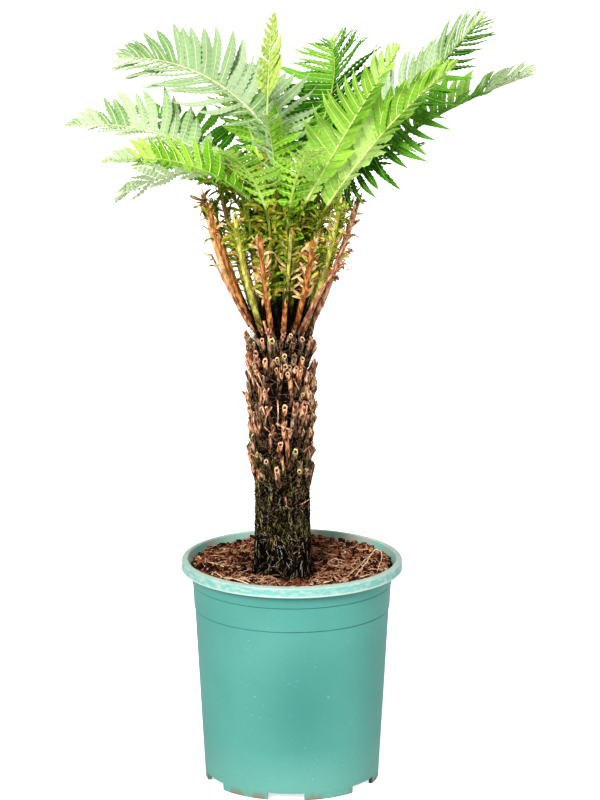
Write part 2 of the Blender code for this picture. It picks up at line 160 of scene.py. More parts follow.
bpy.ops.mesh.primitive_plane_add(size=FLOOR_SIZE)
floor = bpy.context.active_object
floor.name = "studio_floor"
floor_finish, floor_shader = new_finish("pale_floor", 0.9)
floor_shader.inputs["Base Color"].default_value = FLOOR_GREY
floor_shader.inputs["Emission Color"].default_value = WHITE
floor_tree = floor_finish.node_tree
floor_seen = add_node(floor_tree, "LightPath")
floor_glow = both(floor_tree, floor_seen.outputs["Is Camera Ray"], FLOOR_GLOW)
feed(floor_tree, floor_shader.inputs["Emission Strength"], floor_glow)
floor.data.materials.append(floor_finish)
floor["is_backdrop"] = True

# Pot
# A moulded nursery pot of teal plastic, dusty and scuffed: a rolled rim, two fine steps below it,
# an evenly tapered wall, and a foot ring with six cut-outs that let it drain.
# It stands on the floor under the weight of the compost.
POT_HEIGHT = 0.320
RIM_FACE = 0.0155
NECK_RADIUS = 0.1415
BASE_RADIUS = 0.1225
WALL = 0.0026
STEP_DEPTH = 0.0009
STEP_HEIGHTS = (0.286, 0.251)
GROOVE_DEPTH = 0.0022
GROOVE_HEIGHT = 0.0018
FOOT_HEIGHT = 0.011
FOOT_WIDTH = 0.006
PAD_RADIUS = 0.030
NOTCH_COUNT = 6
NOTCH_WIDTH = 0.051
NOTCH_GAP = 0.0008
NOTCH_PHASE = math.radians(-94)
POT_SIDES = 160
SHARP_EDGE = math.radians(40)
INWARD = -0.03
INSIDE_TOP = 0.319
TEAL = (0.057, 0.256, 0.216, 1.0)
PALE_TEAL = (0.093, 0.314, 0.271, 1.0)
# A darker teal for the fine grain, and for painted shade in a soft spot on the front of the pot, placed and
# sized by the next two rows.
SHADE_AND_GRAIN_TEAL = (0.046, 0.220, 0.185, 1.0)
PAINTED_SHADE_SPOT = (0.012, -0.13, 0.135)
PAINTED_SHADE_REACH = (0.085, 0.22, 0.15)
LOW_PALE_TEAL = (0.125, 0.326, 0.278, 1.0)
RIM_TEAL = (0.172, 0.430, 0.385, 1.0)
# Chalk dust, also used as the colour of the painted highlights on the lip and the bead of the rim.
CHALK_AND_HIGHLIGHT = (0.520, 0.560, 0.500, 1.0)
STAIN = (0.200, 0.110, 0.055, 1.0)
INSIDE_TEAL = (0.160, 0.420, 0.360, 1.0)
INSIDE_DUST = (0.330, 0.330, 0.260, 1.0)


def outer_wall(height):
    """The radius outside, which steps in by a hair at each of the two rings."""
    share = height / (POT_HEIGHT - RIM_FACE)
    steps = sum(STEP_DEPTH for step in STEP_HEIGHTS if height < step)
    return BASE_RADIUS + (NECK_RADIUS - BASE_RADIUS) * share - steps + 2 * STEP_DEPTH * (1 - share)


def inner_wall(height):
    share = height / (POT_HEIGHT - RIM_FACE)
    return BASE_RADIUS + (NECK_RADIUS - BASE_RADIUS) * share - WALL - 2 * STEP_DEPTH


def turned_piece(name, profile, sides, foot_x=0.0):
    """A round closed piece drawn out ring by ring: rows of radius, height and, if it leans, x."""
    radius, height = profile[0][:2]
    bpy.ops.object.select_all(action="DESELECT")
    bpy.ops.mesh.primitive_circle_add(vertices=sides, radius=radius, location=(foot_x, 0.0, height))
    made = bpy.context.active_object
    made.name = name
    bpy.ops.object.mode_set(mode="EDIT")
    bpy.ops.mesh.select_all(action="SELECT")
    for row in profile[1:]:
        next_x = row[2] if len(row) == 3 else 0.0
        step = (next_x - foot_x, 0.0, row[1] - height)
        bpy.ops.mesh.extrude_region_move(TRANSFORM_OT_translate={"value": step})
        growth = row[0] / radius
        bpy.ops.transform.resize(value=(growth, growth, 1.0), center_override=(next_x, 0.0, row[1]))
        radius, height, foot_x = row[0], row[1], next_x
    bpy.ops.mesh.edge_face_add()
    bpy.ops.mesh.select_all(action="DESELECT")
    bpy.ops.mesh.select_non_manifold()
    bpy.ops.mesh.edge_face_add()
    bpy.ops.mesh.select_all(action="SELECT")
    bpy.ops.mesh.normals_make_consistent(inside=False)
    bpy.ops.object.mode_set(mode="OBJECT")
    bpy.ops.object.transform_apply(location=True, rotation=True, scale=True)
    return made


floor_top = FOOT_HEIGHT + WALL
pot_profile = [
    (0.020, floor_top),
    (inner_wall(floor_top) - 0.006, floor_top),
    (inner_wall(floor_top), floor_top + 0.005),
    (inner_wall(0.150), 0.150),
    (inner_wall(0.300), 0.300),
    (0.1412, 0.3075),
    (0.1448, 0.3150),
    (0.1462, 0.3188),
    (0.1474, 0.3200),
    (0.1490, 0.3196),
    (0.1522, 0.3190),
    (0.1542, 0.3182),
    (0.1550, 0.3166),
    (0.1548, 0.3140),
    (0.1543, 0.3105),
    (0.1545, 0.3086),
    (0.1553, 0.3070),
    (0.1552, 0.3054),
    (0.1540, 0.3046),
    (0.1520, 0.3050),
    (0.1436, 0.3052),
    (NECK_RADIUS + 0.0003, 0.3030),
]
for step_height in STEP_HEIGHTS:
    pot_profile += [
        (outer_wall(step_height), step_height),
        (outer_wall(step_height) - GROOVE_DEPTH, step_height - GROOVE_HEIGHT / 2),
        (outer_wall(step_height - GROOVE_HEIGHT), step_height - GROOVE_HEIGHT),
    ]
pot_profile += [
    (outer_wall(0.150), 0.150),
    (outer_wall(0.040), 0.040),
    (outer_wall(0.016), 0.016),
    (BASE_RADIUS, 0.001),
    (BASE_RADIUS - 0.001, 0.0),
    (BASE_RADIUS - FOOT_WIDTH, 0.0),
    (BASE_RADIUS - FOOT_WIDTH, FOOT_HEIGHT),
    (PAD_RADIUS + 0.002, FOOT_HEIGHT),
    (PAD_RADIUS, 0.0),
]
pot = turned_piece("pot_shell", pot_profile, POT_SIDES)

for number in range(NOTCH_COUNT):
    turn = NOTCH_PHASE + number * math.tau / NOTCH_COUNT
    place = (BASE_RADIUS * math.cos(turn), BASE_RADIUS * math.sin(turn), 0.0)
    bpy.ops.object.select_all(action="DESELECT")
    bpy.ops.mesh.primitive_cube_add(size=1.0, location=place, rotation=(0.0, 0.0, turn))
    cutter = bpy.context.active_object
    cutter.scale = (4 * FOOT_WIDTH, NOTCH_WIDTH, 2 * FOOT_HEIGHT - NOTCH_GAP)
    bpy.context.view_layer.objects.active = pot
    notch = pot.modifiers.new("Notch", "BOOLEAN")
    notch.object = cutter
    notch.solver = "EXACT"
    bpy.ops.object.modifier_apply(modifier=notch.name)
    bpy.data.objects.remove(cutter)
bpy.ops.object.select_all(action="DESELECT")
pot.select_set(True)
bpy.ops.object.shade_smooth_by_angle(angle=SHARP_EDGE)


def new_group(name, inputs, outputs):
    """An empty node group with named sockets: its tree, its input node and its output node."""
    tree = bpy.data.node_groups.new(name, "ShaderNodeTree")
    for socket, (kind, value) in inputs.items():
        made = tree.interface.new_socket(socket, in_out="INPUT", socket_type=f"NodeSocket{kind}")
        made.default_value = value
    for socket, kind in outputs.items():
        tree.interface.new_socket(socket, in_out="OUTPUT", socket_type=f"NodeSocket{kind}")
    return tree, tree.nodes.new("NodeGroupInput"), tree.nodes.new("NodeGroupOutput")


def own_noise(tree, scale, detail, stretch=(1.0, 1.0, 1.0)):
    """Noise in the piece's own space, pulled out along the axes where stretch is below 1."""
    place = add_node(tree, "TexCoord")
    pulled = add_node(tree, "Mapping", {"Vector": place.outputs["Object"], "Scale": stretch})
    recipe = {"Vector": pulled.outputs["Vector"], "Scale": scale, "Detail": detail}
    return add_node(tree, "TexNoise", recipe).outputs["Fac"]


def patches_group():
    """Soft patches in the piece's own space: noise, pulled out by Stretch and cut between Low and High."""
    inputs = {
        "Scale": ("Float", 10.0),
        "Detail": ("Float", 4.0),
        "Stretch": ("Vector", (1.0, 1.0, 1.0)),
        "Low": ("Float", 0.4),
        "High": ("Float", 0.6),
    }
    tree, given, sent = new_group("patches", inputs, {"Mask": "Float", "Grain": "Float"})
    noise = own_noise(tree, given.outputs["Scale"], given.outputs["Detail"], given.outputs["Stretch"])
    limits = {"Value": noise, "From Min": given.outputs["Low"], "From Max": given.outputs["High"]}
    feed(tree, sent.inputs["Mask"], add_node(tree, "MapRange", limits).outputs["Result"])
    feed(tree, sent.inputs["Grain"], noise)
    return tree


patches = patches_group()


def place_group(tree, group, **values):
    """Places a node group in a material with its own values."""
    return add_node(tree, "Group", values, node_tree=group)


def tinted(tree, mask, under, over):
    """The colour under, with the colour over laid on where the mask is 1."""
    return add_node(tree, "Mix", {0: mask, 6: under, 7: over}, data_type="RGBA").outputs[2]


def height_band(tree, start, end, most=1.0):
    """A mask that grows from 0 at one height to most at the other."""
    place = add_node(tree, "TexCoord")
    split = add_node(tree, "SeparateXYZ", {0: place.outputs["Object"]})
    limits = {"Value": split.outputs["Z"], "From Min": start, "From Max": end, "To Max": most}
    return add_node(tree, "MapRange", limits).outputs["Result"]


def soft_spot(tree, centre, reach):
    """A mask that is 1 at a place on the piece and fades out at its reach along each axis."""
    place = add_node(tree, "TexCoord")
    away = add_node(tree, "VectorMath", {0: place.outputs["Object"], 1: centre}, operation="SUBTRACT")
    scaled = add_node(tree, "VectorMath", {0: away.outputs["Vector"], 1: reach}, operation="DIVIDE")
    length = add_node(tree, "VectorMath", {0: scaled.outputs["Vector"]}, operation="LENGTH")
    limits = {"Value": length.outputs["Value"], "From Min": 1.0, "From Max": 0.0}
    return add_node(tree, "MapRange", limits, interpolation_type="SMOOTHSTEP").outputs["Result"]


def roughen(tree, shader, relief, depth, strength):
    """Bumps the surface by a relief value."""
    bump = add_node(tree, "Bump", {"Distance": depth, "Strength": strength, "Height": relief})
    feed(tree, shader.inputs["Normal"], bump.outputs["Normal"])


def pot_plastic():
    """Teal plastic: cloudy, scuffed, paler low down, with painted shade in a soft spot on the front and a
    painted highlight on the lip and bead of the rim, chalky on the rim and stained brown on the feet.
    """
    made, shader = new_finish("pot_plastic", 0.5)
    tree = made.node_tree
    clouds = place_group(tree, patches, Scale=9.0, Detail=5.0, Low=0.10, High=0.78)
    colour = tinted(tree, clouds.outputs["Mask"], TEAL, PALE_TEAL)
    # Painted shade: a soft darker spot on the front of the pot.
    colour = tinted(tree, soft_spot(tree, PAINTED_SHADE_SPOT, PAINTED_SHADE_REACH), colour, SHADE_AND_GRAIN_TEAL)
    # Paler towards the bottom of the pot.
    colour = tinted(tree, height_band(tree, start=0.075, end=0.025, most=0.75), colour, LOW_PALE_TEAL)
    grain = place_group(tree, patches, Scale=330.0, Detail=3.0, Low=0.35, High=0.65)
    colour = tinted(tree, both(tree, grain.outputs["Mask"], 0.16), colour, SHADE_AND_GRAIN_TEAL)
    on_rim = height_band(tree, start=0.3040, end=0.3055)
    colour = tinted(tree, on_rim, colour, RIM_TEAL)
    chalk = place_group(tree, patches, Scale=90.0, Detail=8.0, Stretch=(1.0, 1.0, 2.5), Low=0.45, High=0.78)
    colour = tinted(tree, both(tree, on_rim, chalk.outputs["Mask"]), colour, CHALK_AND_HIGHLIGHT)
    # Painted highlight: a pale band round the top of the lip, and another on the rounded bead below the
    # rim.
    colour = tinted(tree, height_band(tree, start=0.3165, end=0.3185, most=0.6), colour, CHALK_AND_HIGHLIGHT)
    bead_highlight = both(tree, on_rim, height_band(tree, start=0.3078, end=0.3068, most=0.75))
    colour = tinted(tree, bead_highlight, colour, CHALK_AND_HIGHLIGHT)
    specks = place_group(tree, patches, Scale=260.0, Detail=2.0, Low=0.70, High=0.78)
    colour = tinted(tree, both(tree, specks.outputs["Mask"], 0.35), colour, CHALK_AND_HIGHLIGHT)
    mud = place_group(tree, patches, Scale=70.0, Low=0.40, High=0.60)
    on_feet = both(tree, height_band(tree, start=0.013, end=0.001, most=0.85), mud.outputs["Mask"])
    colour = tinted(tree, on_feet, colour, STAIN)
    feed(tree, shader.inputs["Base Color"], colour)
    pitting = place_group(tree, patches, Scale=180.0, Detail=3.0)
    roughen(tree, shader, pitting.outputs["Grain"], 0.0003, 0.35)
    return made


def pot_inside():
    """The inner wall above the compost: the same plastic under dried dust."""
    made, shader = new_finish("pot_inside", 0.75)
    tree = made.node_tree
    dust = place_group(tree, patches, Scale=22.0, Detail=6.0, Stretch=(1.0, 1.0, 0.6), Low=0.40, High=0.62)
    colour = tinted(tree, dust.outputs["Mask"], INSIDE_TEAL, INSIDE_DUST)
    feed(tree, shader.inputs["Base Color"], colour)
    roughen(tree, shader, dust.outputs["Grain"], 0.0006, 0.5)
    return made


pot.data.materials.append(pot_plastic())
pot.data.materials.append(pot_inside())
for polygon in pot.data.polygons:
    facing = polygon.normal.x * polygon.center.x + polygon.normal.y * polygon.center.y
    inside = facing < INWARD and FOOT_HEIGHT < polygon.center.z < INSIDE_TOP
    polygon.material_index = 1 if inside else 0
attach(pot, "root")
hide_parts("pot")

# Compost
# Chopped coir and bark fill the pot to a little under the rim, hollow round the trunk and heaped
# at the wall. On it lie bark chips, long curled coir fibres and a few white grit crumbs, and some
# straws reach over the rim.
BED_PROFILE = (
    (0.0, 0.2955), (0.048, 0.2965), (0.060, 0.2985), (0.078, 0.3020), (0.100, 0.3060), (0.125, 0.3090),
    (0.138, 0.3105),
)
BED_GAP = 0.0005
BED_WALL_TOP = 0.298
BED_SIDES = 96
BED_RINGS = 34
BED_TOP_FROM = 0.29
BED_TOP_FADE = 0.006
BED_LUMPS = (("Heaps", 0.075, 0.0060), ("Lumps", 0.022, 0.0085), ("Crumbs", 0.006, 0.0042))
TRUNK_FOOT_X = -0.0125
TRUNK_FOOT_RADIUS = 0.041
TRUNK_OVERLAP = 0.004
SPOT_SQUARE = 0.141
SOIL_DARK = (0.006, 0.003, 0.002)
SOIL_LIGHT = (0.098, 0.035, 0.018)

# Bark chips and grit: how many, the dark and the light colour.
CHIP_TONES = {
    "dark": (2100, (0.007, 0.003, 0.002), (0.045, 0.016, 0.009)),
    "red": (1900, (0.075, 0.024, 0.012), (0.300, 0.110, 0.055)),
    "tan": (300, (0.260, 0.115, 0.055), (0.520, 0.280, 0.150)),
    "grit": (26, (0.700, 0.660, 0.600), (0.850, 0.820, 0.780)),
}
CHIP_REACH = 0.1385
CHIP_TILT = 0.70
CHIP_LEVELS = (-0.0008, 0.0012)
CHIP_SPREAD = (3.0, 0.0009)
CHIP_LEAST = 0.0010
CHIP_WIDTHS = (0.3, 0.7)
CHIP_HEIGHTS = (0.15, 0.4)
CHIP_UNEVEN = (0.55, 1.1)
GRIT_SIZES = (0.0009, 0.0020)

# Coir fibres: how many, the length, the thickness, the dark and the light colour.
FIBRE_TONES = {
    "brown": (1400, 0.024, 0.00034, (0.130, 0.046, 0.022), (0.400, 0.170, 0.090)),
    "tan": (1000, 0.032, 0.00044, (0.480, 0.250, 0.140), (0.920, 0.640, 0.420)),
}
FIBRE_STEPS = 12
FIBRE_LENGTHS = (0.5, 1.5)
FIBRE_RADII = (0.7, 1.3)
FIBRE_CURL = 0.50
FIBRE_CLIMB = 0.26
FIBRE_REACH = 0.1375
FIBRE_LIFT = 0.0004
FIBRE_TOP = 0.3175

# Long straws, in millimetres: x, y and the height over the compost.
LONG_STRANDS = (
    ((82, -84, 2), (96, -42, 7), (108, 18, 9), (118, 66, 6), (125, 50, 6), (128, 30, 5), (124, -10, 6),
     (119, -42, 2)),
    ((66, -96, 2), (84, -40, 5), (100, 10, 7), (112, 40, 5), (124, 66, 3)),
    ((-131, 16, 5), (-122, -26, 6), (-111, -68, 3)),
    ((-128, -10, 3), (-112, -52, 5), (-92, -82, 3)),
    ((-133, 30, 3), (-110, 6, 4), (-84, -20, 4), (-62, -60, 3)),
    ((40, -80, 2), (70, -70, 5), (100, -78, 5), (118, -60, 3)),
    ((-94, -104, 8), (-84, -124, 15), (-72, -140, 16), (-60, -146, 13)),
    ((-80, -96, 6), (-66, -126, 15), (-58, -143, 15)),
    ((-50, -100, 3), (-20, -118, 5), (16, -124, 5), (44, -112, 3)),
    ((20, -96, 3), (50, -92, 6), (66, -66, 5), (58, -50, 3)),
)
STRAND_STEPS = 20
STRAND_RADIUS = 0.00100
STRAND_SOIL_AT = 0.93
STRAND_COLOURS = ((0.620, 0.380, 0.220), (0.920, 0.700, 0.480))
chance = np.random.default_rng(11)


def split_faces(piece):
    """Splits every face in four without rounding it."""
    finer = piece.modifiers.new("Finer", "SUBSURF")
    finer.subdivision_type = "SIMPLE"
    finer.levels = 1
    finer.render_levels = 1
    bpy.ops.object.modifier_apply(modifier=finer.name)


def crumple(piece, name, size, height, **settings):
    """Pushes the surface in and out by a cloud pattern of that size."""
    cloud = bpy.data.textures.new(name, "CLOUDS")
    cloud.noise_scale = size
    lumps = piece.modifiers.new(name, "DISPLACE")
    lumps.texture = cloud
    lumps.texture_coords = "LOCAL"
    lumps.strength = height
    for setting, value in settings.items():
        setattr(lumps, setting, value)
    bpy.ops.object.modifier_apply(modifier=lumps.name)


bed_rows = [
    (inner_wall(height) - BED_GAP, height)
    for height in np.linspace(floor_top + BED_GAP, BED_WALL_TOP, 12)
]
for radius in np.linspace(inner_wall(0.302) - 0.0006, 0.003, BED_RINGS):
    height = float(np.interp(radius, *zip(*BED_PROFILE)))
    bed_rows.append((float(radius), height))
bed = turned_piece("compost_bed", bed_rows, BED_SIDES)
split_faces(bed)
top_points = bed.vertex_groups.new(name="top")
for vertex in bed.data.vertices:
    away = math.hypot(vertex.co.x, vertex.co.y)
    if vertex.co.z > BED_TOP_FROM:
        top_points.add([vertex.index], min(1.0, (inner_wall(0.300) - away) / BED_TOP_FADE), "REPLACE")
for lump_name, lump_size, lump_height in BED_LUMPS:
    crumple(bed, lump_name, lump_size, lump_height, direction="Z", vertex_group="top")
bpy.ops.object.shade_smooth()


def crumbs_group():
    """Crumbly earth: two tones in small blotches, with the relief of the crumbs."""
    inputs = {
        "Dark": ("Color", (*SOIL_DARK, 1.0)),
        "Light": ("Color", (*SOIL_LIGHT, 1.0)),
        "Scale": ("Float", 170.0),
    }
    tree, given, sent = new_group("crumbs", inputs, {"Colour": "Color", "Relief": "Float"})
    noise = own_noise(tree, given.outputs["Scale"], 6.0)
    cut = add_node(tree, "MapRange", {"Value": noise, "From Min": 0.35, "From Max": 0.65})
    colour = tinted(tree, cut.outputs["Result"], given.outputs["Dark"], given.outputs["Light"])
    feed(tree, sent.inputs["Colour"], colour)
    feed(tree, sent.inputs["Relief"], noise)
    return tree


crumbs = crumbs_group()


def two_tone(name, group, dark, light, scale, roughness, depth):
    """A finish from a two-tone group: its colour on the shader and its relief as bump."""
    made, shader = new_finish(name, roughness, 0.06)
    tree = made.node_tree
    tones = place_group(tree, group, Dark=(*dark, 1.0), Light=(*light, 1.0), Scale=scale)
    feed(tree, shader.inputs["Base Color"], tones.outputs["Colour"])
    roughen(tree, shader, tones.outputs["Relief"], depth, 0.8)
    return made


earth = two_tone("compost_earth", crumbs, SOIL_DARK, SOIL_LIGHT, scale=170.0, roughness=0.95, depth=0.002)
bed.data.materials.append(earth)
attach(bed, "root")
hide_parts("compost")

bed_shape = BVHTree.FromPolygons(
    [tuple(vertex.co) for vertex in bed.data.vertices],
    [tuple(polygon.vertices) for polygon in bed.data.polygons],
)


def soil_height(spots):
    """The level of the compost's surface under each of the spots."""
    down = Vector((0.0, 0.0, -1.0))
    heights = []
    for x, y in spots.reshape(-1, 2):
        hit = bed_shape.ray_cast(Vector((x, y, 1.0)), down)[0]
        heights.append(hit.z if hit else BED_PROFILE[-1][1])
    return np.array(heights).reshape(spots.shape[:-1])


def joined_piece(name, chunks, finish, replaced=(), age=None):
    """Joins chunks of (points, face arrays) into one smooth object that rides with the plant.

    The age, where it is given, is 0 at a limb's foot and 1 at its end, for every point.
    """
    points = np.concatenate([chunk[0] for chunk in chunks])
    starts = np.cumsum([0] + [len(chunk[0]) for chunk in chunks])
    corners = []
    sizes = []
    for start, (_, face_arrays) in zip(starts, chunks):
        for faces in face_arrays:
            corners.append((faces + start).ravel())
            sizes.append(np.full(len(faces), faces.shape[1]))
    corners = np.concatenate(corners)
    sizes = np.concatenate(sizes)
    mesh = bpy.data.meshes.new(name)
    mesh.vertices.add(len(points))
    mesh.vertices.foreach_set("co", points.astype(np.float32).ravel())
    mesh.loops.add(len(corners))
    mesh.loops.foreach_set("vertex_index", corners.astype(np.int32))
    mesh.polygons.add(len(sizes))
    face_starts = np.concatenate(([0], np.cumsum(sizes)[:-1]))
    mesh.polygons.foreach_set("loop_start", face_starts.astype(np.int32))
    mesh.update(calc_edges=True)
    mesh.shade_smooth()
    mesh.materials.append(finish)
    if age is not None:
        ages = mesh.attributes.new("age", "FLOAT", "POINT")
        ages.data.foreach_set("value", age.astype(np.float32).ravel())
    made = bpy.data.objects.new(name, mesh)
    bpy.context.scene.collection.objects.link(made)
    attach(made, "root")
    if replaced:
        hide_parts(*replaced)


def unit(vectors):
    return vectors / np.maximum(np.linalg.norm(vectors, axis=-1, keepdims=True), 1e-9)


def ring_stacks(centres, side, up, radii):
    """Closed skins: centres and directions (limbs, rings, 3), radii (limbs, rings, corners)."""
    limbs, rings, corners = radii.shape
    angles = np.arange(corners) * math.tau / corners
    spokes = np.cos(angles)[:, None] * side[:, :, None] + np.sin(angles)[:, None] * up[:, :, None]
    skin = centres[:, :, None] + radii[..., None] * spokes
    ends = np.stack((skin[:, 0].mean(axis=1), skin[:, -1].mean(axis=1)), axis=1)
    points = np.concatenate((skin.reshape(limbs, -1, 3), ends), axis=1)
    ring = np.arange(rings - 1)[:, None] * corners
    here = np.arange(corners)
    after = (here + 1) % corners
    walls = (ring + here, ring + corners + here, ring + corners + after, ring + after)
    quads = np.stack(walls, axis=-1).reshape(-1, 4)
    last = (rings - 1) * corners
    foot = rings * corners
    foot_fan = np.stack((np.full(corners, foot), here, after), axis=-1)
    tip_fan = np.stack((np.full(corners, foot + 1), last + after, last + here), axis=-1)
    fans = np.concatenate((foot_fan, tip_fan))
    shift = np.arange(limbs)[:, None, None] * points.shape[1]
    return points.reshape(-1, 3), [(quads + shift).reshape(-1, 4), (fans + shift).reshape(-1, 3)]


def ring_frames(paths):
    """Directions along, to the side and up at each point of the paths, with no twist."""
    ways = unit(np.gradient(paths, axis=1))
    straight = np.abs(unit(paths[:, -1] - paths[:, 0]))
    other = np.eye(3)[np.argmin(straight, axis=1)][:, None]
    side = unit(np.cross(ways, np.broadcast_to(other, ways.shape)))
    return ways, side, np.cross(side, ways)


def round_limbs(paths, radii, corners):
    """Closed tubes along paths (limbs, rings, 3) with radii (limbs, rings)."""
    _, side, up = ring_frames(paths)
    return ring_stacks(paths, side, up, np.repeat(radii[:, :, None], corners, axis=2))


def spots_on_soil(count):
    """Random places on the compost, clear of the trunk."""
    spots = []
    while len(spots) < count:
        x, y = chance.uniform(-SPOT_SQUARE, SPOT_SQUARE, 2)
        off_trunk = math.hypot(x - TRUNK_FOOT_X, y) > TRUNK_FOOT_RADIUS - TRUNK_OVERLAP
        if math.hypot(x, y) < CHIP_REACH and off_trunk:
            spots.append((x, y))
    return np.array(spots)


BOX_CORNERS = np.array([(x, y, z) for z in (-1, 1) for y in (-1, 1) for x in (-1, 1)], dtype=float)
BOX_FACES = np.array([(0, 2, 3, 1), (4, 5, 7, 6), (0, 1, 5, 4), (2, 6, 7, 3), (0, 4, 6, 2), (1, 3, 7, 5)])


def turned(first, second, angle):
    """Two coordinates of the blocks' corners, turned by one angle a block."""
    cosine = np.cos(angle)[:, None]
    sine = np.sin(angle)[:, None]
    return first * cosine - second * sine, first * sine + second * cosine


def uneven_blocks(places, sizes):
    """Small uneven blocks at the places, each turned any way round Z and tilted."""
    count = len(places)
    corners = BOX_CORNERS[None] * sizes[:, None] * chance.uniform(*CHIP_UNEVEN, (count, 8, 3))
    x, y, z = np.moveaxis(corners, -1, 0)
    y, z = turned(y, z, chance.normal(0, CHIP_TILT, count))
    z, x = turned(z, x, chance.normal(0, CHIP_TILT, count))
    x, y = turned(x, y, chance.uniform(0, math.tau, count))
    points = (np.stack((x, y, z), axis=-1) + places[:, None]).reshape(-1, 3)
    faces = (BOX_FACES[None] + 8 * np.arange(count)[:, None, None]).reshape(-1, 4)
    return points, [faces]


for tone, (count, dark, light) in CHIP_TONES.items():
    spots = spots_on_soil(count)
    heights = soil_height(spots) + chance.uniform(*CHIP_LEVELS, count)
    long_side = chance.gamma(*CHIP_SPREAD, count) + CHIP_LEAST
    widths = long_side * chance.uniform(*CHIP_WIDTHS, count)
    sizes = np.column_stack((long_side, widths, long_side * chance.uniform(*CHIP_HEIGHTS, count)))
    if tone == "grit":
        sizes = chance.uniform(*GRIT_SIZES, (count, 3))
    chips = uneven_blocks(np.column_stack((spots, heights)), sizes)
    finish = two_tone(f"chip_{tone}", crumbs, dark, light, scale=300.0, roughness=0.9, depth=0.0005)
    joined_piece(f"compost_chips_{tone}", [chips], finish)


def curled_strands(starts, lengths):
    """Strands that set out any way and wander as they go: (strands, steps + 1, 3)."""
    count = len(starts)
    shape = (count, FIBRE_STEPS)
    bends = chance.normal(0.0, FIBRE_CURL, shape)
    turns = np.cumsum(bends, axis=1) + chance.uniform(0, math.tau, (count, 1))
    rise = chance.normal(0.0, FIBRE_CLIMB, shape)
    ways = np.stack((np.cos(turns), np.sin(turns), rise), axis=-1)
    paths = np.cumsum(ways * (lengths / FIBRE_STEPS)[:, None, None], axis=1)
    return np.concatenate((starts[:, None], starts[:, None] + paths), axis=1)


def laid_on_soil(paths):
    """Keeps every point of the strands on the compost and inside the pot's wall."""
    away = np.hypot(paths[..., 0], paths[..., 1])
    squeeze = np.minimum(1.0, FIBRE_REACH / np.maximum(away, 1e-6))
    paths[..., :2] *= squeeze[..., None]
    paths[..., 2] = np.clip(paths[..., 2], soil_height(paths[..., :2]) + FIBRE_LIFT, FIBRE_TOP)
    return paths


for tone, (count, length, thickness, dark, light) in FIBRE_TONES.items():
    spots = spots_on_soil(count)
    starts = np.column_stack((spots, soil_height(spots) + chance.uniform(0.0, 0.0015, count)))
    paths = curled_strands(starts, length * chance.uniform(*FIBRE_LENGTHS, count))
    radii = thickness * chance.uniform(*FIBRE_RADII, (count, 1))
    radii = radii * np.linspace(1.0, 0.5, FIBRE_STEPS + 1)[None]
    finish = two_tone(f"fibre_{tone}", crumbs, dark, light, scale=120.0, roughness=0.8, depth=0.0002)
    joined_piece(f"compost_fibres_{tone}", [round_limbs(laid_on_soil(paths), radii, 4)], finish)


def smooth_path(points, steps):
    """A rounded path of that many steps through a row of points in millimetres."""
    corners = np.array(points, dtype=float) / 1000
    spots = np.linspace(0, len(corners) - 1, steps + 1)
    keys = np.arange(len(corners))
    path = np.stack([np.interp(spots, keys, corners[:, axis]) for axis in range(3)], axis=1)
    for _ in range(2):
        path[1:-1] = (path[:-2] + 2 * path[1:-1] + path[2:]) / 4
    return path


strands = np.array([smooth_path(points, STRAND_STEPS) for points in LONG_STRANDS])
strands[..., 2] += soil_height(strands[..., :2] * STRAND_SOIL_AT)
strand_radii = STRAND_RADIUS * np.ones((len(strands), 1))
strand_radii = strand_radii * np.linspace(1.0, 0.6, STRAND_STEPS + 1)[None]
strand_finish = two_tone("long_strand", crumbs, *STRAND_COLOURS, scale=120.0, roughness=0.7, depth=0.0002)
joined_piece("compost_strands", [round_limbs(strands, strand_radii, 6)], strand_finish)

# Trunk
# A bundle of old leaf bases round a thin core, swathed low down in black root fibre with a bloom of
# moss, and rooted in the compost. Higher up the cut leaf bases stand out in rows, each a short hollow
# tube with a pale ring where it was cut.
TRUNK_TOP_X = -0.0160
TRUNK_TOP = 0.655
TRUNK_FOOT = 0.2955
TRUNK_HEIGHTS = (0.0, 0.030, 0.085, 0.122, 0.150, 0.200, 0.361)
TRUNK_RADII = (0.0405, 0.0362, 0.0344, 0.0338, 0.0352, 0.0362, 0.0372)
# Nearly black: partly the core's own dark fibre, partly painted shade in the gaps between the leaf bases.
CORE_AND_GAP_SHADE_COLOURS = ((0.002, 0.0015, 0.001), (0.018, 0.011, 0.007))

# Root strands: how many, the lowest and highest start, the thickness, the dark and the light colour.
ROOT_TONES = {
    "black": (2300, 0.2960, 0.455, 0.00070, (0.002, 0.001, 0.001), (0.010, 0.008, 0.006)),
    "umber": (900, 0.2975, 0.500, 0.00050, (0.020, 0.010, 0.006), (0.260, 0.160, 0.095)),
    "moss": (1300, 0.3550, 0.478, 0.00050, (0.020, 0.018, 0.004), (0.380, 0.340, 0.090)),
    "grey": (620, 0.2980, 0.450, 0.00042, (0.110, 0.095, 0.060), (0.780, 0.720, 0.540)),
}
ROOT_LENGTH = 0.014
ROOT_LENGTHS = (0.5, 1.4)
ROOT_RADII = (0.6, 1.25)
ROOT_STEPS = 6
ROOT_TILT = 0.65
ROOT_WANDER = 0.11
ROOT_STAND = 0.0042
ROOT_ROUND = 0.036

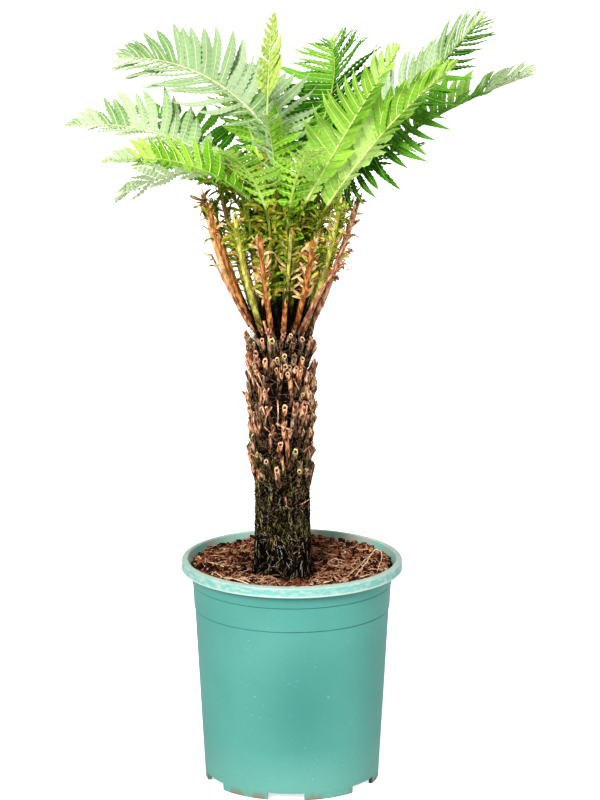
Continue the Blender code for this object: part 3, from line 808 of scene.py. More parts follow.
# Cut leaf bases: a share of the tone, the age where its clean end starts, and the colours of foot and end.
SIDE_STUBS = 150
SIDE_LOWEST = 0.445
SIDE_BELOW_TOP = 0.002
SIDE_FROM_FRONT = 0.95
FILLERS = 26
FILLER_LOWEST = 0.450
FILLER_BELOW_TOP = 0.008
FILLER_SPREAD = 1.0
AgedTone = namedtuple("AgedTone", "share from_age dark light tip_dark tip_light")
STUB_TONES = {
    "moss": AgedTone(
        0.46, 1.05, (0.006, 0.004, 0.002), (0.220, 0.150, 0.070),
        (0.060, 0.032, 0.018), (0.500, 0.340, 0.210),
    ),
    "pink": AgedTone(
        0.32, 1.05, (0.008, 0.004, 0.002), (0.240, 0.130, 0.078),
        (0.130, 0.050, 0.028), (0.800, 0.450, 0.280),
    ),
    "orange": AgedTone(
        0.22, 1.05, (0.008, 0.004, 0.002), (0.190, 0.100, 0.055),
        (0.200, 0.070, 0.028), (0.880, 0.500, 0.270),
    ),
}
RING_TONES = {
    "cream": (0.56, (0.520, 0.300, 0.170), (0.860, 0.640, 0.450)),
    "lime": (0.14, (0.440, 0.400, 0.080), (0.800, 0.760, 0.400)),
    "dark": (0.30, (0.070, 0.035, 0.020), (0.300, 0.160, 0.090)),
}

# Those in view, in millimetres: x, top, length, radius in tenths, then their tone and their ring's.
FRONT_STUBS = (
    (-43, 643, 21, 36, "pink", "cream"), (-28, 644, 22, 41, "moss", "lime"),
    (-11, 655, 23, 32, "pink", "dark"), (2, 643, 20, 40, "moss", "dark"),
    (15, 644, 24, 38, "moss", "cream"), (28, 640, 28, 36, "pink", "cream"),
    (-60, 640, 24, 34, "moss", "dark"), (-65, 628, 25, 30, "pink", "dark"),
    (-51, 622, 26, 40, "pink", "dark"), (-21, 618, 16, 38, "moss", "lime"),
    (-10, 622, 18, 40, "moss", "lime"), (-9, 607, 15, 38, "moss", "cream"),
    (15, 616, 26, 36, "orange", "cream"), (7, 604, 16, 36, "pink", "cream"),
    (4, 620, 20, 38, "moss", "dark"), (-38, 614, 26, 38, "orange", "cream"),
    (-6, 597, 17, 30, "orange", "cream"), (-22, 603, 15, 27, "orange", "cream"),
    (-15, 600, 33, 38, "orange", "dark"), (12, 599, 34, 42, "orange", "dark"),
    (24, 594, 30, 38, "pink", "dark"), (-48, 596, 22, 32, "orange", "dark"),
    (-39, 570, 24, 30, "orange", "cream"), (25, 566, 26, 42, "pink", "cream"),
    (15, 565, 20, 30, "moss", "lime"), (-10, 549, 25, 42, "orange", "cream"),
    (5, 549, 32, 40, "pink", "dark"), (18, 550, 42, 50, "pink", "cream"),
    (-36, 547, 24, 26, "orange", "lime"), (-56, 534, 25, 36, "pink", "lime"),
    (-60, 517, 24, 34, "pink", "dark"), (-50, 514, 20, 30, "pink", "dark"),
    (29, 532, 30, 40, "moss", "lime"), (-27, 519, 18, 34, "pink", "dark"),
    (-12, 522, 30, 34, "orange", "dark"), (-16, 496, 20, 44, "orange", "cream"),
    (6, 484, 16, 40, "moss", "lime"), (-50, 477, 16, 36, "moss", "lime"),
    (13, 454, 14, 34, "moss", "lime"), (-49, 452, 14, 36, "moss", "lime"),
    (-36, 470, 14, 34, "moss", "cream"), (-22, 458, 28, 42, "pink", "cream"),
    (-31, 660, 20, 32, "pink", "cream"), (-44, 658, 18, 30, "orange", "dark"),
    (4, 661, 20, 34, "moss", "dark"), (17, 660, 22, 34, "pink", "dark"),
    (-2, 652, 16, 34, "moss", "cream"), (-53, 648, 22, 32, "moss", "lime"),
    (30, 655, 26, 32, "moss", "dark"),
)
STUB_STEPS = 7
STUB_STAND = 0.0110
STUB_SINK = 0.0015
STUB_LENGTHS = (0.018, 0.040)
STUB_RADII = (0.0024, 0.0040)
LOW_STUBS = 0.47
CUT_LIMB_SIDES = 12
FRONT = -math.pi / 2
TORN_CUT = 0.0022
CLEAN_CUT = 0.0007
STUB_SLANT = 0.75
PITH_COLOURS = ((0.030, 0.010, 0.006), (0.150, 0.055, 0.030))
SPLINTER_COLOURS = ((0.260, 0.095, 0.050), (0.900, 0.560, 0.380))
HAIR_TONES = {
    "black": (1500, (0.004, 0.003, 0.002), (0.030, 0.020, 0.013)),
    "tan": (1300, (0.160, 0.100, 0.060), (0.560, 0.410, 0.280)),
}
HAIR_RADIUS = 0.00030
HAIR_LENGTHS = (0.007, 0.020)
HAIR_START = 0.090
HAIR_LEAN = 0.45


def trunk_centre_x(height):
    share = (height - TRUNK_FOOT) / (TRUNK_TOP - TRUNK_FOOT)
    return TRUNK_FOOT_X + (TRUNK_TOP_X - TRUNK_FOOT_X) * share


def trunk_radius(height):
    return np.interp(height - TRUNK_FOOT, TRUNK_HEIGHTS, TRUNK_RADII)


def on_trunk(angles, heights, proud):
    """Points round the trunk at a height, standing proud of its core."""
    radii = trunk_radius(heights) + proud
    across = trunk_centre_x(heights) + radii * np.cos(angles)
    return np.stack((across, radii * np.sin(angles), heights), axis=-1)


core_rows = [
    (float(trunk_radius(height)) - 0.0012, float(height), float(trunk_centre_x(height)))
    for height in np.linspace(TRUNK_FOOT, TRUNK_TOP, 40)
]
core = turned_piece("trunk_core", core_rows, 48, TRUNK_FOOT_X)
split_faces(core)
crumple(core, "Ridges", 0.012, 0.0040)
crumple(core, "Pits", 0.004, 0.0020)
bpy.ops.object.shade_smooth()
core_finish = two_tone("trunk_core", crumbs, *CORE_AND_GAP_SHADE_COLOURS, scale=150.0, roughness=0.95, depth=0.003)
core.data.materials.append(core_finish)
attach(core, "root")
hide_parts("trunk")


def dry_fibre_group():
    """Dry plant fibre: streaks that run up the limb, darkened here and there, with their relief."""
    inputs = {
        "Dark": ("Color", (0.03, 0.02, 0.01, 1.0)),
        "Light": ("Color", (0.3, 0.2, 0.1, 1.0)),
        "Scale": ("Float", 260.0),
    }
    tree, given, sent = new_group("dry_fibre", inputs, {"Colour": "Color", "Relief": "Float"})
    streaks = own_noise(tree, given.outputs["Scale"], 5.0, (1.0, 1.0, 0.22))
    streak_cut = add_node(tree, "MapRange", {"Value": streaks, "From Min": 0.44, "From Max": 0.57})
    blotches = own_noise(tree, 60.0, 2.0)
    blotch_limits = {"Value": blotches, "From Min": 0.60, "From Max": 0.35, "To Max": 0.55}
    blotch_cut = add_node(tree, "MapRange", blotch_limits)
    colour = tinted(tree, streak_cut.outputs["Result"], given.outputs["Dark"], given.outputs["Light"])
    colour = tinted(tree, blotch_cut.outputs["Result"], colour, given.outputs["Dark"])
    feed(tree, sent.inputs["Colour"], colour)
    feed(tree, sent.inputs["Relief"], streaks)
    return tree


dry_fibre = dry_fibre_group()


def root_paths(count, low, high):
    """Root strands that hug the trunk and straggle down it."""
    angles = chance.uniform(0, math.tau, count)
    tops = chance.uniform(low, high, count)
    strides = (ROOT_LENGTH * chance.uniform(*ROOT_LENGTHS, count) / ROOT_STEPS)[:, None]
    wander = np.cumsum(chance.normal(0.0, ROOT_WANDER, (count, ROOT_STEPS)), axis=1)
    tilt = chance.normal(0.0, ROOT_TILT, (count, 1)) + wander
    start = np.zeros((count, 1))
    down = np.concatenate((start, np.cumsum(np.cos(tilt), axis=1)), axis=1) * strides
    across = np.concatenate((start, np.cumsum(np.sin(tilt), axis=1)), axis=1) * strides
    heights = np.maximum(tops[:, None] - down, TRUNK_FOOT + 0.001)
    stand = ROOT_STAND * chance.uniform(0.1, 1.0, (count, 1))
    stand = stand + chance.normal(0.0, 0.0004, (count, ROOT_STEPS + 1))
    return on_trunk(angles[:, None] + across / ROOT_ROUND, heights, np.maximum(stand, 0.0002))


for tone, (count, low, high, thickness, dark, light) in ROOT_TONES.items():
    paths = root_paths(count, low, high)
    radii = thickness * chance.uniform(*ROOT_RADII, (count, 1))
    radii = radii * np.linspace(1.0, 0.45, ROOT_STEPS + 1)[None]
    finish = two_tone(f"root_{tone}", dry_fibre, dark, light, scale=260.0, roughness=0.85, depth=0.0006)
    joined_piece(f"trunk_roots_{tone}", [round_limbs(paths, radii, 4)], finish)


def cut_limbs(paths, radii, ragged, wall, depth, slant=0.0):
    """Limbs cut off at the top, aslant and facing outwards.

    Gives the fibrous outside with its hollow end, the ring of the cut, the dark pith in it, and the age
    of the outside's points.
    """
    ways, side, up = ring_frames(paths)
    count, rings = radii.shape
    corners = CUT_LIMB_SIDES
    flutes = 1 + chance.normal(0.0, 0.085, (count, 1, corners))
    flutes = flutes + chance.normal(0.0, 0.04, (count, rings, corners))
    skin = radii[:, :, None] * flutes
    top = paths[:, -1:]
    way = ways[:, -1:]
    lip = np.repeat(skin[:, -1:], 2, axis=1) * np.array((0.93, 0.80))[None, :, None]
    centres = np.concatenate((paths, top, top - way * depth), axis=1)
    sides = np.concatenate((side, side[:, -1:], side[:, -1:]), axis=1)
    ups = np.concatenate((up, up[:, -1:], up[:, -1:]), axis=1)
    points, faces = ring_stacks(centres, sides, ups, np.concatenate((skin, lip), axis=1))
    slope = np.sin(np.arange(corners)[None] * math.tau / corners + chance.uniform(0, math.tau, (count, 1)))
    tall = chance.gamma(1.2, ragged, (count, corners)) + 0.5 * ragged * (1 + slope)
    points = points.reshape(count, -1, 3)
    for ring in (rings - 1, rings):
        points[:, ring * corners:(ring + 1) * corners] += way * tall[:, :, None]
    outward = top * np.array((1.0, 1.0, 0.0)) - np.array((TRUNK_TOP_X, 0.0, 0.0))
    slants = slant * chance.uniform(0.4, 1.3, (count, 1, 1))

    def cut_aslant(some_points):
        fall = ((some_points - top) * unit(outward)).sum(axis=-1, keepdims=True)
        return some_points - way * fall * slants

    end_points = slice((rings - 1) * corners, (rings + 2) * corners)
    points[:, end_points] = cut_aslant(points[:, end_points])

    def inner_piece(shares, drops):
        """A ring stack in the hollow: each ring's share of the limb's radius and of the hollow's depth."""
        places = top - way * (np.array(drops) * depth)[None, :, None]
        inner_side = np.repeat(side[:, -1:], len(shares), axis=1)
        inner_up = np.repeat(up[:, -1:], len(shares), axis=1)
        inner_radii = skin[:, -1:] * np.array(shares)[None, :, None]
        made, inner_faces = ring_stacks(places, inner_side, inner_up, inner_radii)
        return cut_aslant(made.reshape(count, -1, 3)).reshape(-1, 3), inner_faces

    ring_piece = inner_piece((0.5, 0.88, 0.96, 0.94, wall, wall * 0.9), (1.2, 0.9, 0.04, -0.10, -0.10, 0.5))
    pith = inner_piece((wall * 0.6, wall * 0.96, wall * 0.90, wall * 0.3), (0.48, 0.40, 0.20, 0.26))
    skin_age = np.repeat(np.linspace(0.0, 1.0, rings), corners)
    age = np.concatenate((skin_age, np.ones(2 * corners), (0.0, 1.0)))
    return (points.reshape(-1, 3), faces), ring_piece, pith, np.tile(age, (count, 1))


def aged_finish(name, tone, scale):
    """Dry fibre, dark and mossy at a limb's foot and clean towards its cut end, by the age attribute. On
    the shaded straw stalks the long dark foot is painted shade.
    """
    made, shader = new_finish(name, 0.8, 0.06)
    tree = made.node_tree
    foot = place_group(tree, dry_fibre, Dark=(*tone.dark, 1.0), Light=(*tone.light, 1.0), Scale=scale)
    end = place_group(
        tree, dry_fibre, Dark=(*tone.tip_dark, 1.0), Light=(*tone.tip_light, 1.0), Scale=scale,
    )
    age = add_node(tree, "Attribute", attribute_name="age")
    edge = place_group(tree, patches, Scale=120.0, Low=0.3, High=0.7)
    uneven = add_node(tree, "Math", {0: age.outputs["Fac"], 1: edge.outputs["Grain"]}, operation="ADD")
    cut_at = add_node(tree, "MapRange", {
        "Value": uneven.outputs[0], "From Min": tone.from_age, "From Max": tone.from_age + 0.25,
    })
    colour = tinted(tree, cut_at.outputs["Result"], foot.outputs["Colour"], end.outputs["Colour"])
    feed(tree, shader.inputs["Base Color"], colour)
    roughen(tree, shader, foot.outputs["Relief"], 0.0009, 0.8)
    return made


def dealt(tones, count):
    """Deals limbs out to the tones by their shares: the name of a tone for each."""
    bounds = np.cumsum([row[0] for row in tones.values()])
    picks = np.searchsorted(bounds / bounds[-1], chance.random(count), side="right")
    return np.array(list(tones))[picks]


front_x, front_top, front_length, front_size = np.array([row[:4] for row in FRONT_STUBS]).T / 1000
front_reach = trunk_radius(front_top) + STUB_STAND
front_aside = np.clip((front_x - trunk_centre_x(front_top)) / front_reach, -0.97, 0.97)
front_turn = np.arcsin(front_aside) + FRONT
front_tones = np.array([row[4:] for row in FRONT_STUBS])
other_count = SIDE_STUBS + FILLERS
side_top = chance.uniform(SIDE_LOWEST, TRUNK_TOP - SIDE_BELOW_TOP, SIDE_STUBS)
side_turn = chance.uniform(FRONT + SIDE_FROM_FRONT, 1.5 * math.pi - SIDE_FROM_FRONT, SIDE_STUBS)
filler_top = chance.uniform(FILLER_LOWEST, TRUNK_TOP - FILLER_BELOW_TOP, FILLERS)
filler_turn = chance.uniform(FRONT - FILLER_SPREAD, FRONT + FILLER_SPREAD, FILLERS)
stub_tops = np.concatenate((front_top, side_top, filler_top))
stub_turns = np.concatenate((front_turn, side_turn, filler_turn))
stub_lengths = np.concatenate((front_length, chance.uniform(*STUB_LENGTHS, other_count)))
stub_sizes = np.concatenate((front_size / 10, chance.uniform(*STUB_RADII, other_count)))
stub_stand = STUB_STAND * np.concatenate((
    chance.uniform(0.8, 1.1, len(front_top)),
    chance.uniform(0.6, 1.15, SIDE_STUBS),
    chance.uniform(0.25, 0.6, FILLERS),
))
stub_stand = stub_stand * np.where(stub_tops < LOW_STUBS, 0.6, 1.0)
stub_steps = np.linspace(0.0, 1.0, STUB_STEPS)
stub_heights = stub_tops[:, None] - stub_lengths[:, None] * 1.15 * (1 - stub_steps)[None]
stub_swing = chance.normal(0.0, 0.10, (len(stub_tops), 1)) * (1 - stub_steps)[None]
stub_paths = on_trunk(
    stub_turns[:, None] + stub_swing, stub_heights,
    (STUB_SINK + stub_stand)[:, None] * stub_steps[None] ** 1.15 - STUB_SINK,
)
stub_radii = stub_sizes[:, None] * np.linspace(1.15, 0.95, STUB_STEPS)[None]
stub_tones = np.concatenate((front_tones[:, 0], dealt(STUB_TONES, other_count)))
ring_tones = np.concatenate((front_tones[:, 1], dealt(RING_TONES, other_count)))

rings_by_tone = {tone: [] for tone in RING_TONES}
stub_piths = []
for tone, colours in STUB_TONES.items():
    outsides = []
    ages = []
    for ring_tone in RING_TONES:
        chosen = np.flatnonzero((stub_tones == tone) & (ring_tones == ring_tone))
        ragged = TORN_CUT if ring_tone == "dark" else CLEAN_CUT
        outside, ring, pith, age = cut_limbs(
            stub_paths[chosen], stub_radii[chosen],
            ragged=ragged, wall=0.66, depth=0.0050, slant=STUB_SLANT,
        )
        outsides.append(outside)
        ages.append(age.ravel())
        rings_by_tone[ring_tone].append(ring)
        stub_piths.append(pith)
    finish = aged_finish(f"stub_{tone}", colours, scale=420.0)
    joined_piece(f"trunk_stubs_{tone}", outsides, finish, age=np.concatenate(ages))
for tone, rings in rings_by_tone.items():
    _, dark, light = RING_TONES[tone]
    finish = two_tone(f"cut_ring_{tone}", crumbs, dark, light, scale=400.0, roughness=0.8, depth=0.0003)
    joined_piece(f"trunk_stub_rings_{tone}", rings, finish)
pith_finish = two_tone("cut_pith", crumbs, *PITH_COLOURS, scale=500.0, roughness=0.9, depth=0.0003)
joined_piece("trunk_stub_piths", stub_piths, pith_finish)

# Splinters: the radius in tenths of a millimetre, then points in millimetres: x, height and stand.
SPLINTERS = (
    (19, ((-22, 527, 14), (-12, 522, 15), (0, 517, 14))),
    (12, ((-42, 551, 15), (-39, 543, 14), (-36, 535, 12))),
    (12, ((-28, 551, 15), (-32, 543, 14), (-36, 535, 12), (-37, 523, 9))),
    (15, ((-57, 538, 11), (-54, 526, 10), (-50, 515, 8))),
    (21, ((-64, 610, 16), (-58, 594, 15), (-52, 576, 11))),
    (12, ((-53, 592, 10), (-48, 598, 13), (-42, 582, 12), (-35, 567, 10))),
    (12, ((-52, 586, 9), (-43, 571, 10), (-37, 558, 9))),
    (12, ((-32, 577, 14), (-37, 566, 12), (-40, 553, 10))), (17, ((-53, 521, 13), (-49, 508, 12))),
    (9, ((-39, 520, 9), (-29, 512, 13), (-22, 514, 15))),
    (14, ((14, 552, 13), (19, 557, 15), (25, 548, 13), (27, 536, 11))),
    (12, ((30, 493, 12), (25, 474, 7))), (8, ((29, 545, 8), (38, 556, 14))),
    (7, ((11, 404, 3), (24, 408, 6), (35, 412, 12))), (12, ((-9, 418, 5), (-7, 403, 3))),
    (23, ((-39, 672, 12), (-33, 650, 8), (-28, 628, 4))), (20, ((-36, 657, 13), (-31, 650, 9))),
    (10, ((36, 640, 9), (30, 622, 6))), (10, ((-46, 470, 6), (-58, 478, 14))),
    (13, ((-20, 560, 9), (-19, 540, 9), (-20, 520, 6))), (9, ((2, 590, 10), (10, 572, 9))),
    (4, ((16, 482, 9), (27, 491, 13), (33, 487, 16), (37, 479, 19))),
    (4, ((13, 449, 4), (24, 447, 8), (33, 443, 13), (37, 432, 18))),
    (4, ((-44, 467, 4), (-52, 471, 6), (-61, 475, 13))),
    (4, ((20, 536, 10), (27, 539, 12), (35, 544, 19))),
)
splinter_paths = []
for _, points in SPLINTERS:
    path = smooth_path(points, 10)
    reach = trunk_radius(path[:, 1]) + path[:, 2]
    aside = np.clip((path[:, 0] - trunk_centre_x(path[:, 1])) / reach, -0.98, 0.98)
    splinter_paths.append(on_trunk(np.arcsin(aside) + FRONT, path[:, 1], path[:, 2]))
splinter_radii = np.array([[size] for size, _ in SPLINTERS]) / 10000 * np.linspace(1.0, 0.6, 11)[None]
splinter_finish = two_tone(
    "splinter", dry_fibre, *SPLINTER_COLOURS, scale=420.0, roughness=0.8, depth=0.0006,
)
splinter_limbs = round_limbs(np.array(splinter_paths), splinter_radii, 6)
joined_piece("trunk_splinters", [splinter_limbs], splinter_finish)

hair_steps = np.linspace(0.0, 1.0, 6)
hair_taper = np.linspace(1.0, 0.4, 6)
for tone, (count, dark, light) in HAIR_TONES.items():
    lengths = chance.uniform(*HAIR_LENGTHS, (count, 1))
    turns = chance.uniform(0, math.tau, (count, 1))
    turns = turns + chance.normal(0.0, 0.30, (count, 1)) * hair_steps ** 1.4
    rise = chance.uniform(-0.9, 1.0, (count, 1)) * lengths * hair_steps
    heights = chance.uniform(TRUNK_FOOT + HAIR_START, TRUNK_TOP + 0.004, (count, 1)) + rise
    hairs = on_trunk(turns, heights, 0.0005 + lengths * HAIR_LEAN * hair_steps)
    radii = np.full((count, 1), HAIR_RADIUS) * hair_taper
    name = f"trunk_hair_{tone}"
    finish = two_tone(name, dry_fibre, dark, light, scale=260.0, roughness=0.8, depth=0.0003)
    joined_piece(f"trunk_hairs_{tone}", [round_limbs(hairs, radii, 3)], finish)

# Cut stalks
# The stalks of earlier fronds were cut off above the trunk and stand on it in a vase of two rings, dry
# and tapering. They bleached to tan, rust and straw, the inner straw ones darkened by painted shade for
# most of their length, and carry curled scraps of their lowest leaflets. Thin dead stems lean out beside
# them, and black hair fills the middle, partly the crown's own hair and partly painted shade.
STALK_SPANS = 12
STALK_TAPER = 0.25
STALK_BEND_AT = 0.4
LENGTH_PACE = 2.4
LEAN_PACE = 1.7
TIP_PACE = 2.1
StalkRing = namedtuple(
    "StalkRing", "name count turn ring radius length length_swing leans lean_swings tones"
)
STALK_RINGS = (
    StalkRing("outer_stalk", 16, 0.25, 0.0413, 0.0042, 0.188, 0.014, (28, 21, 12), (3, 0, 4),
              "pink straw rust straw rust straw tan straw tan rust straw rust rust rust straw pink"),
    StalkRing("inner_stalk", 11, 0.60, 0.0325, 0.0037, 0.135, 0.025, (16, 17, 14), (0, 0, 3),
              "straw rust tan straw rust straw tan olive olive olive straw"),
)
CUT_SHORT = {("outer_stalk", 11): 0.74, ("outer_stalk", 12): 0.22, ("outer_stalk", 13): 0.77}
SEAT_GAP = 0.0003
LIMB_SIDES = 8
DEAD_STEPS = 20
DEAD_RADII = (0.0021, 0.0012)
DEAD_STEMS = (
    ((-50, -30, 652), (-74, -38, 690), (-92, -44, 725), (-106, -46, 756), (-112, -46, 768),
     (-117, -46, 764)),
    ((8, -40, 652), (24, -58, 690), (40, -68, 722), (57, -74, 748), (64, -76, 762), (70, -76, 764),
     (71, -76, 752)),
    ((14, -34, 652), (34, -48, 700), (54, -58, 745), (70, -62, 780), (76, -64, 792)),
)
STALK_TONES = {
    "tan": AgedTone(
        1.0, 0.55, (0.400, 0.180, 0.055), (0.760, 0.460, 0.180),
        (0.580, 0.320, 0.120), (0.920, 0.640, 0.340),
    ),
    "rust": AgedTone(
        1.0, 0.55, (0.060, 0.018, 0.008), (0.440, 0.170, 0.055),
        (0.230, 0.080, 0.024), (0.660, 0.290, 0.100),
    ),
    "straw": AgedTone(
        1.0, 0.55, (0.150, 0.110, 0.018), (0.480, 0.400, 0.080),
        (0.290, 0.290, 0.045), (0.660, 0.640, 0.180),
    ),
    # Painted shade: straw darkened over most of its length, for the inner stalks deep in the vase.
    "olive": AgedTone(
        1.0, 0.90, (0.016, 0.010, 0.004), (0.110, 0.075, 0.022),
        (0.240, 0.240, 0.040), (0.600, 0.600, 0.160),
    ),
    "pink": AgedTone(
        1.0, 0.55, (0.140, 0.055, 0.030), (0.520, 0.260, 0.160),
        (0.320, 0.130, 0.080), (0.720, 0.400, 0.260),
    ),
}
STALK_RING_COLOURS = ((0.420, 0.230, 0.110), (0.760, 0.520, 0.300))

# Scraps of old leaflets: their colours, and for each kind of limb its share of each colour and their width.
SCRAP_TONES = {
    "lime": ((0.200, 0.200, 0.010), (0.600, 0.530, 0.095)),
    "green": ((0.050, 0.120, 0.004), (0.320, 0.450, 0.042)),
    "tan": ((0.460, 0.260, 0.100), (0.900, 0.660, 0.340)),
    "rust": ((0.140, 0.040, 0.020), (0.520, 0.220, 0.110)),
}
SCRAP_DEAL = {
    "tan": (0.50, 0.20, 0.22, 0.08),
    "rust": (0.22, 0.02, 0.66, 0.10),
    "straw": (0.54, 0.32, 0.12, 0.02),
    "olive": (0.34, 0.40, 0.22, 0.04),
    "pink": (0.08, 0.06, 0.46, 0.40),
    "stem": (0.41, 0.56, 0.02, 0.01),
    "dead leaf": (0.02, 0.02, 0.66, 0.30),
}
SCRAP_WIDTHS = {
    "tan": 0.065, "rust": 0.110, "straw": 0.070, "olive": 0.080, "pink": 0.100, "stem": 0.080,
    "dead leaf": 0.26,
}
SCRAP_SIZES = {"tan": 0.0230, "rust": 0.0180, "straw": 0.0230, "olive": 0.0230, "pink": 0.0180}
SCRAPS_FROM = TRUNK_TOP + 0.070
SCRAP_PITCH = 0.026
FIRST_SCRAPS = {8: 0.93, 9: 0.72, 10: 0.74}
SCRAP_KEPT = 0.86
SCRAP_FOOT = 0.0026
SCRAP_EDGE = 0.0002
SCRAP_STEPS = 12
TOP_SCRAPS = (0.975, 0.982, 0.988, 0.995)
TOP_SCRAP_SIZE = 0.0150
GREEN_SCRAP_TONES = ("straw", "tan")
GREEN_SCRAPS = np.linspace(0.66, 0.98, 8)
GREEN_SCRAP_SIZE = 0.0240
DEAD_SCRAPS = np.linspace(0.35, 0.99, 7)
DEAD_SCRAP_SIZE = 0.011
DEAD_LEAF_STALK = 8
DEAD_LEAF_PLACES = (0.955, 0.985)
DEAD_LEAF_SIZE = 0.024

# Black hair between the feet of the stalks: partly the crown's own hair, partly a dark filler that paints
# the shade in the middle of the vase.
TUFT_HAIRS = 1900
TUFT_REACH = 0.042
TUFT_LENGTHS = (0.012, 0.060)
TUFT_RADII = (0.0003, 0.0007)
TUFT_AND_SHADE_COLOURS = ((0.003, 0.002, 0.001), (0.040, 0.024, 0.014))


def direction(azimuth, lean):
    """The way that a limb grows: lean is its angle from upright, azimuth the side it leans to."""
    across = math.sin(lean)
    return Vector((across * math.cos(azimuth), across * math.sin(azimuth), math.cos(lean)))


def keyed(keys, place):
    """The value between the keys (place, value) on both sides of a place."""
    for (start, low), (end, high) in zip(keys, keys[1:]):
        if place <= end:
            return low + (high - low) * (place - start) / (end - start)
    return keys[-1][1]


def walk(foot, azimuth_keys, lean_keys, length, count):
    """Grows a limb in steps: rows of place, azimuth and lean."""
    path = []
    here = Vector(foot)
    for step in range(count + 1):
        place = step / count
        path.append((here.copy(), keyed(azimuth_keys, place), keyed(lean_keys, place)))
        middle = min(1.0, place + 0.5 / count)
        here += direction(keyed(azimuth_keys, middle), keyed(lean_keys, middle)) * (length / count)
    return path


def stalk_limbs():
    """Every cut stalk by the source's rule: its points, its radii and its tone."""
    for ring in STALK_RINGS:
        tones = ring.tones.split()
        for number in range(ring.count):
            azimuth = math.tau * (number + ring.turn) / ring.count
            length = ring.length + ring.length_swing * math.sin(number * LENGTH_PACE)
            swings = (math.sin(number * LEAN_PACE), 0.0, math.cos(number * TIP_PACE))
            leans = [
                math.radians(lean + swing * share)
                for lean, swing, share in zip(ring.leans, ring.lean_swings, swings)
            ]
            foot_x = TRUNK_TOP_X + ring.ring * math.cos(azimuth)
            foot = (foot_x, ring.ring * math.sin(azimuth), TRUNK_TOP + SEAT_GAP)
            keys = tuple(zip((0.0, STALK_BEND_AT, 1.0), leans))
            kept = CUT_SHORT.get((ring.name, number), 1.0)
            keys = tuple((place / kept, lean) for place, lean in keys)
            path = walk(foot, ((0.0, azimuth), (1.0, azimuth)), keys, length * kept, STALK_SPANS)
            points = [tuple(place) for place, _, _ in path]
            steps = range(STALK_SPANS + 1)
            radii = [ring.radius * (1 - STALK_TAPER * step / STALK_SPANS) for step in steps]
            yield points, radii, tones[number]


def limb_ages(count, rings, sides):
    """The age of every point of closed limbs: 0 at the foot and 1 at the end."""
    one = np.concatenate((np.repeat(np.linspace(0.0, 1.0, rings), sides), (0.0, 1.0)))
    return np.tile(one, (count, 1))


stalks = list(stalk_limbs())
stalk_paths = np.array([row[0] for row in stalks])
stalk_radii = np.array([row[1] for row in stalks])
stalk_tones = np.array([row[2] for row in stalks])
stalk_nodes = [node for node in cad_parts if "stalk" in node]
stalk_rings = []
stalk_piths = []
for tone, colours in STALK_TONES.items():
    chosen = np.flatnonzero(stalk_tones == tone)
    outside, ring, pith, age = cut_limbs(
        stalk_paths[chosen], stalk_radii[chosen], ragged=0.0040, wall=0.62, depth=0.0060,
    )
    stalk_rings.append(ring)
    stalk_piths.append(pith)
    finish = aged_finish(f"stalk_{tone}", colours, scale=230.0)
    replaced = stalk_nodes if tone == "tan" else ()
    joined_piece(f"stalks_{tone}", [outside], finish, replaced, age)
dead_paths = np.array([
    [[np.interp(step, range(len(stem)), [point[axis] / 1000 for point in stem]) for axis in range(3)]
     for step in np.linspace(0, len(stem) - 1, DEAD_STEPS)] for stem in DEAD_STEMS
])
dead_paths[:, 1:-1] = (dead_paths[:, :-2] + 2 * dead_paths[:, 1:-1] + dead_paths[:, 2:]) / 4
dead_count = len(DEAD_STEMS)
dead_radii = np.linspace(*DEAD_RADII, DEAD_STEPS)[None] * np.ones((dead_count, 1))
dead_finish = aged_finish("dead_stem", STALK_TONES["pink"], scale=230.0)
dead_ages = limb_ages(dead_count, DEAD_STEPS, LIMB_SIDES)
dead_limbs = round_limbs(dead_paths, dead_radii, LIMB_SIDES)
joined_piece("stalks_dead", [dead_limbs], dead_finish, age=dead_ages)
ring_finish = two_tone("stalk_ring", crumbs, *STALK_RING_COLOURS, scale=400.0, roughness=0.8, depth=0.0003)
joined_piece("stalk_rings", stalk_rings, ring_finish)
joined_piece("stalk_piths", stalk_piths, pith_finish)


def grid_strips(points):
    """Open strips of faces over grids of points: (strips, rows, lanes, 3)."""
    count, rows, lanes = points.shape[:3]
    row = np.arange(rows - 1)[:, None] * lanes + np.arange(lanes - 1)[None]
    quads = np.stack((row, row + 1, row + lanes + 1, row + lanes), axis=-1).reshape(-1, 4)
    shift = np.arange(count)[:, None, None] * rows * lanes
    return points.reshape(-1, 3), [(quads + shift).reshape(-1, 4)]


ScrapSpots = namedtuple("ScrapSpots", "feet outward sideways lengthwise tone size")
scrap_rows = []


def note_scraps(path, tone, places, size):
    """Remembers where a limb carries its lowest leaflets, on both sides."""
    for place in places:
        spot = place * (len(path) - 1)
        low = min(int(spot), len(path) - 2)
        lengthwise = unit(path[low + 1] - path[low])
        outward = np.array((path[-1][0] - TRUNK_TOP_X, path[-1][1], 0.0))
        outward = unit(outward - lengthwise * outward.dot(lengthwise))
        sideways = np.cross(lengthwise, outward)
        centre = path[low] + (path[low + 1] - path[low]) * (spot - low)
        for side in (-1, 1):
            if chance.random() < SCRAP_KEPT:
                foot = centre + sideways * side * SCRAP_FOOT
                scrap_rows.append(ScrapSpots(foot, outward, sideways * side, lengthwise, tone, size))


for number, (path, tone) in enumerate(zip(stalk_paths, stalk_tones)):
    if path[-1][2] < SCRAPS_FROM:
        continue
    places = np.arange(FIRST_SCRAPS.get(number, 0.40), 0.97, SCRAP_PITCH)
    note_scraps(path, tone, places, SCRAP_SIZES[tone])
    note_scraps(path, tone, TOP_SCRAPS, TOP_SCRAP_SIZE)
    if tone in GREEN_SCRAP_TONES:
        note_scraps(path, "stem", GREEN_SCRAPS, GREEN_SCRAP_SIZE)


def column(rows, part):
    """One field of many rows, as an array with a second axis of one for the steps along each."""
    return np.array([getattr(row, part) for row in rows])[:, None]


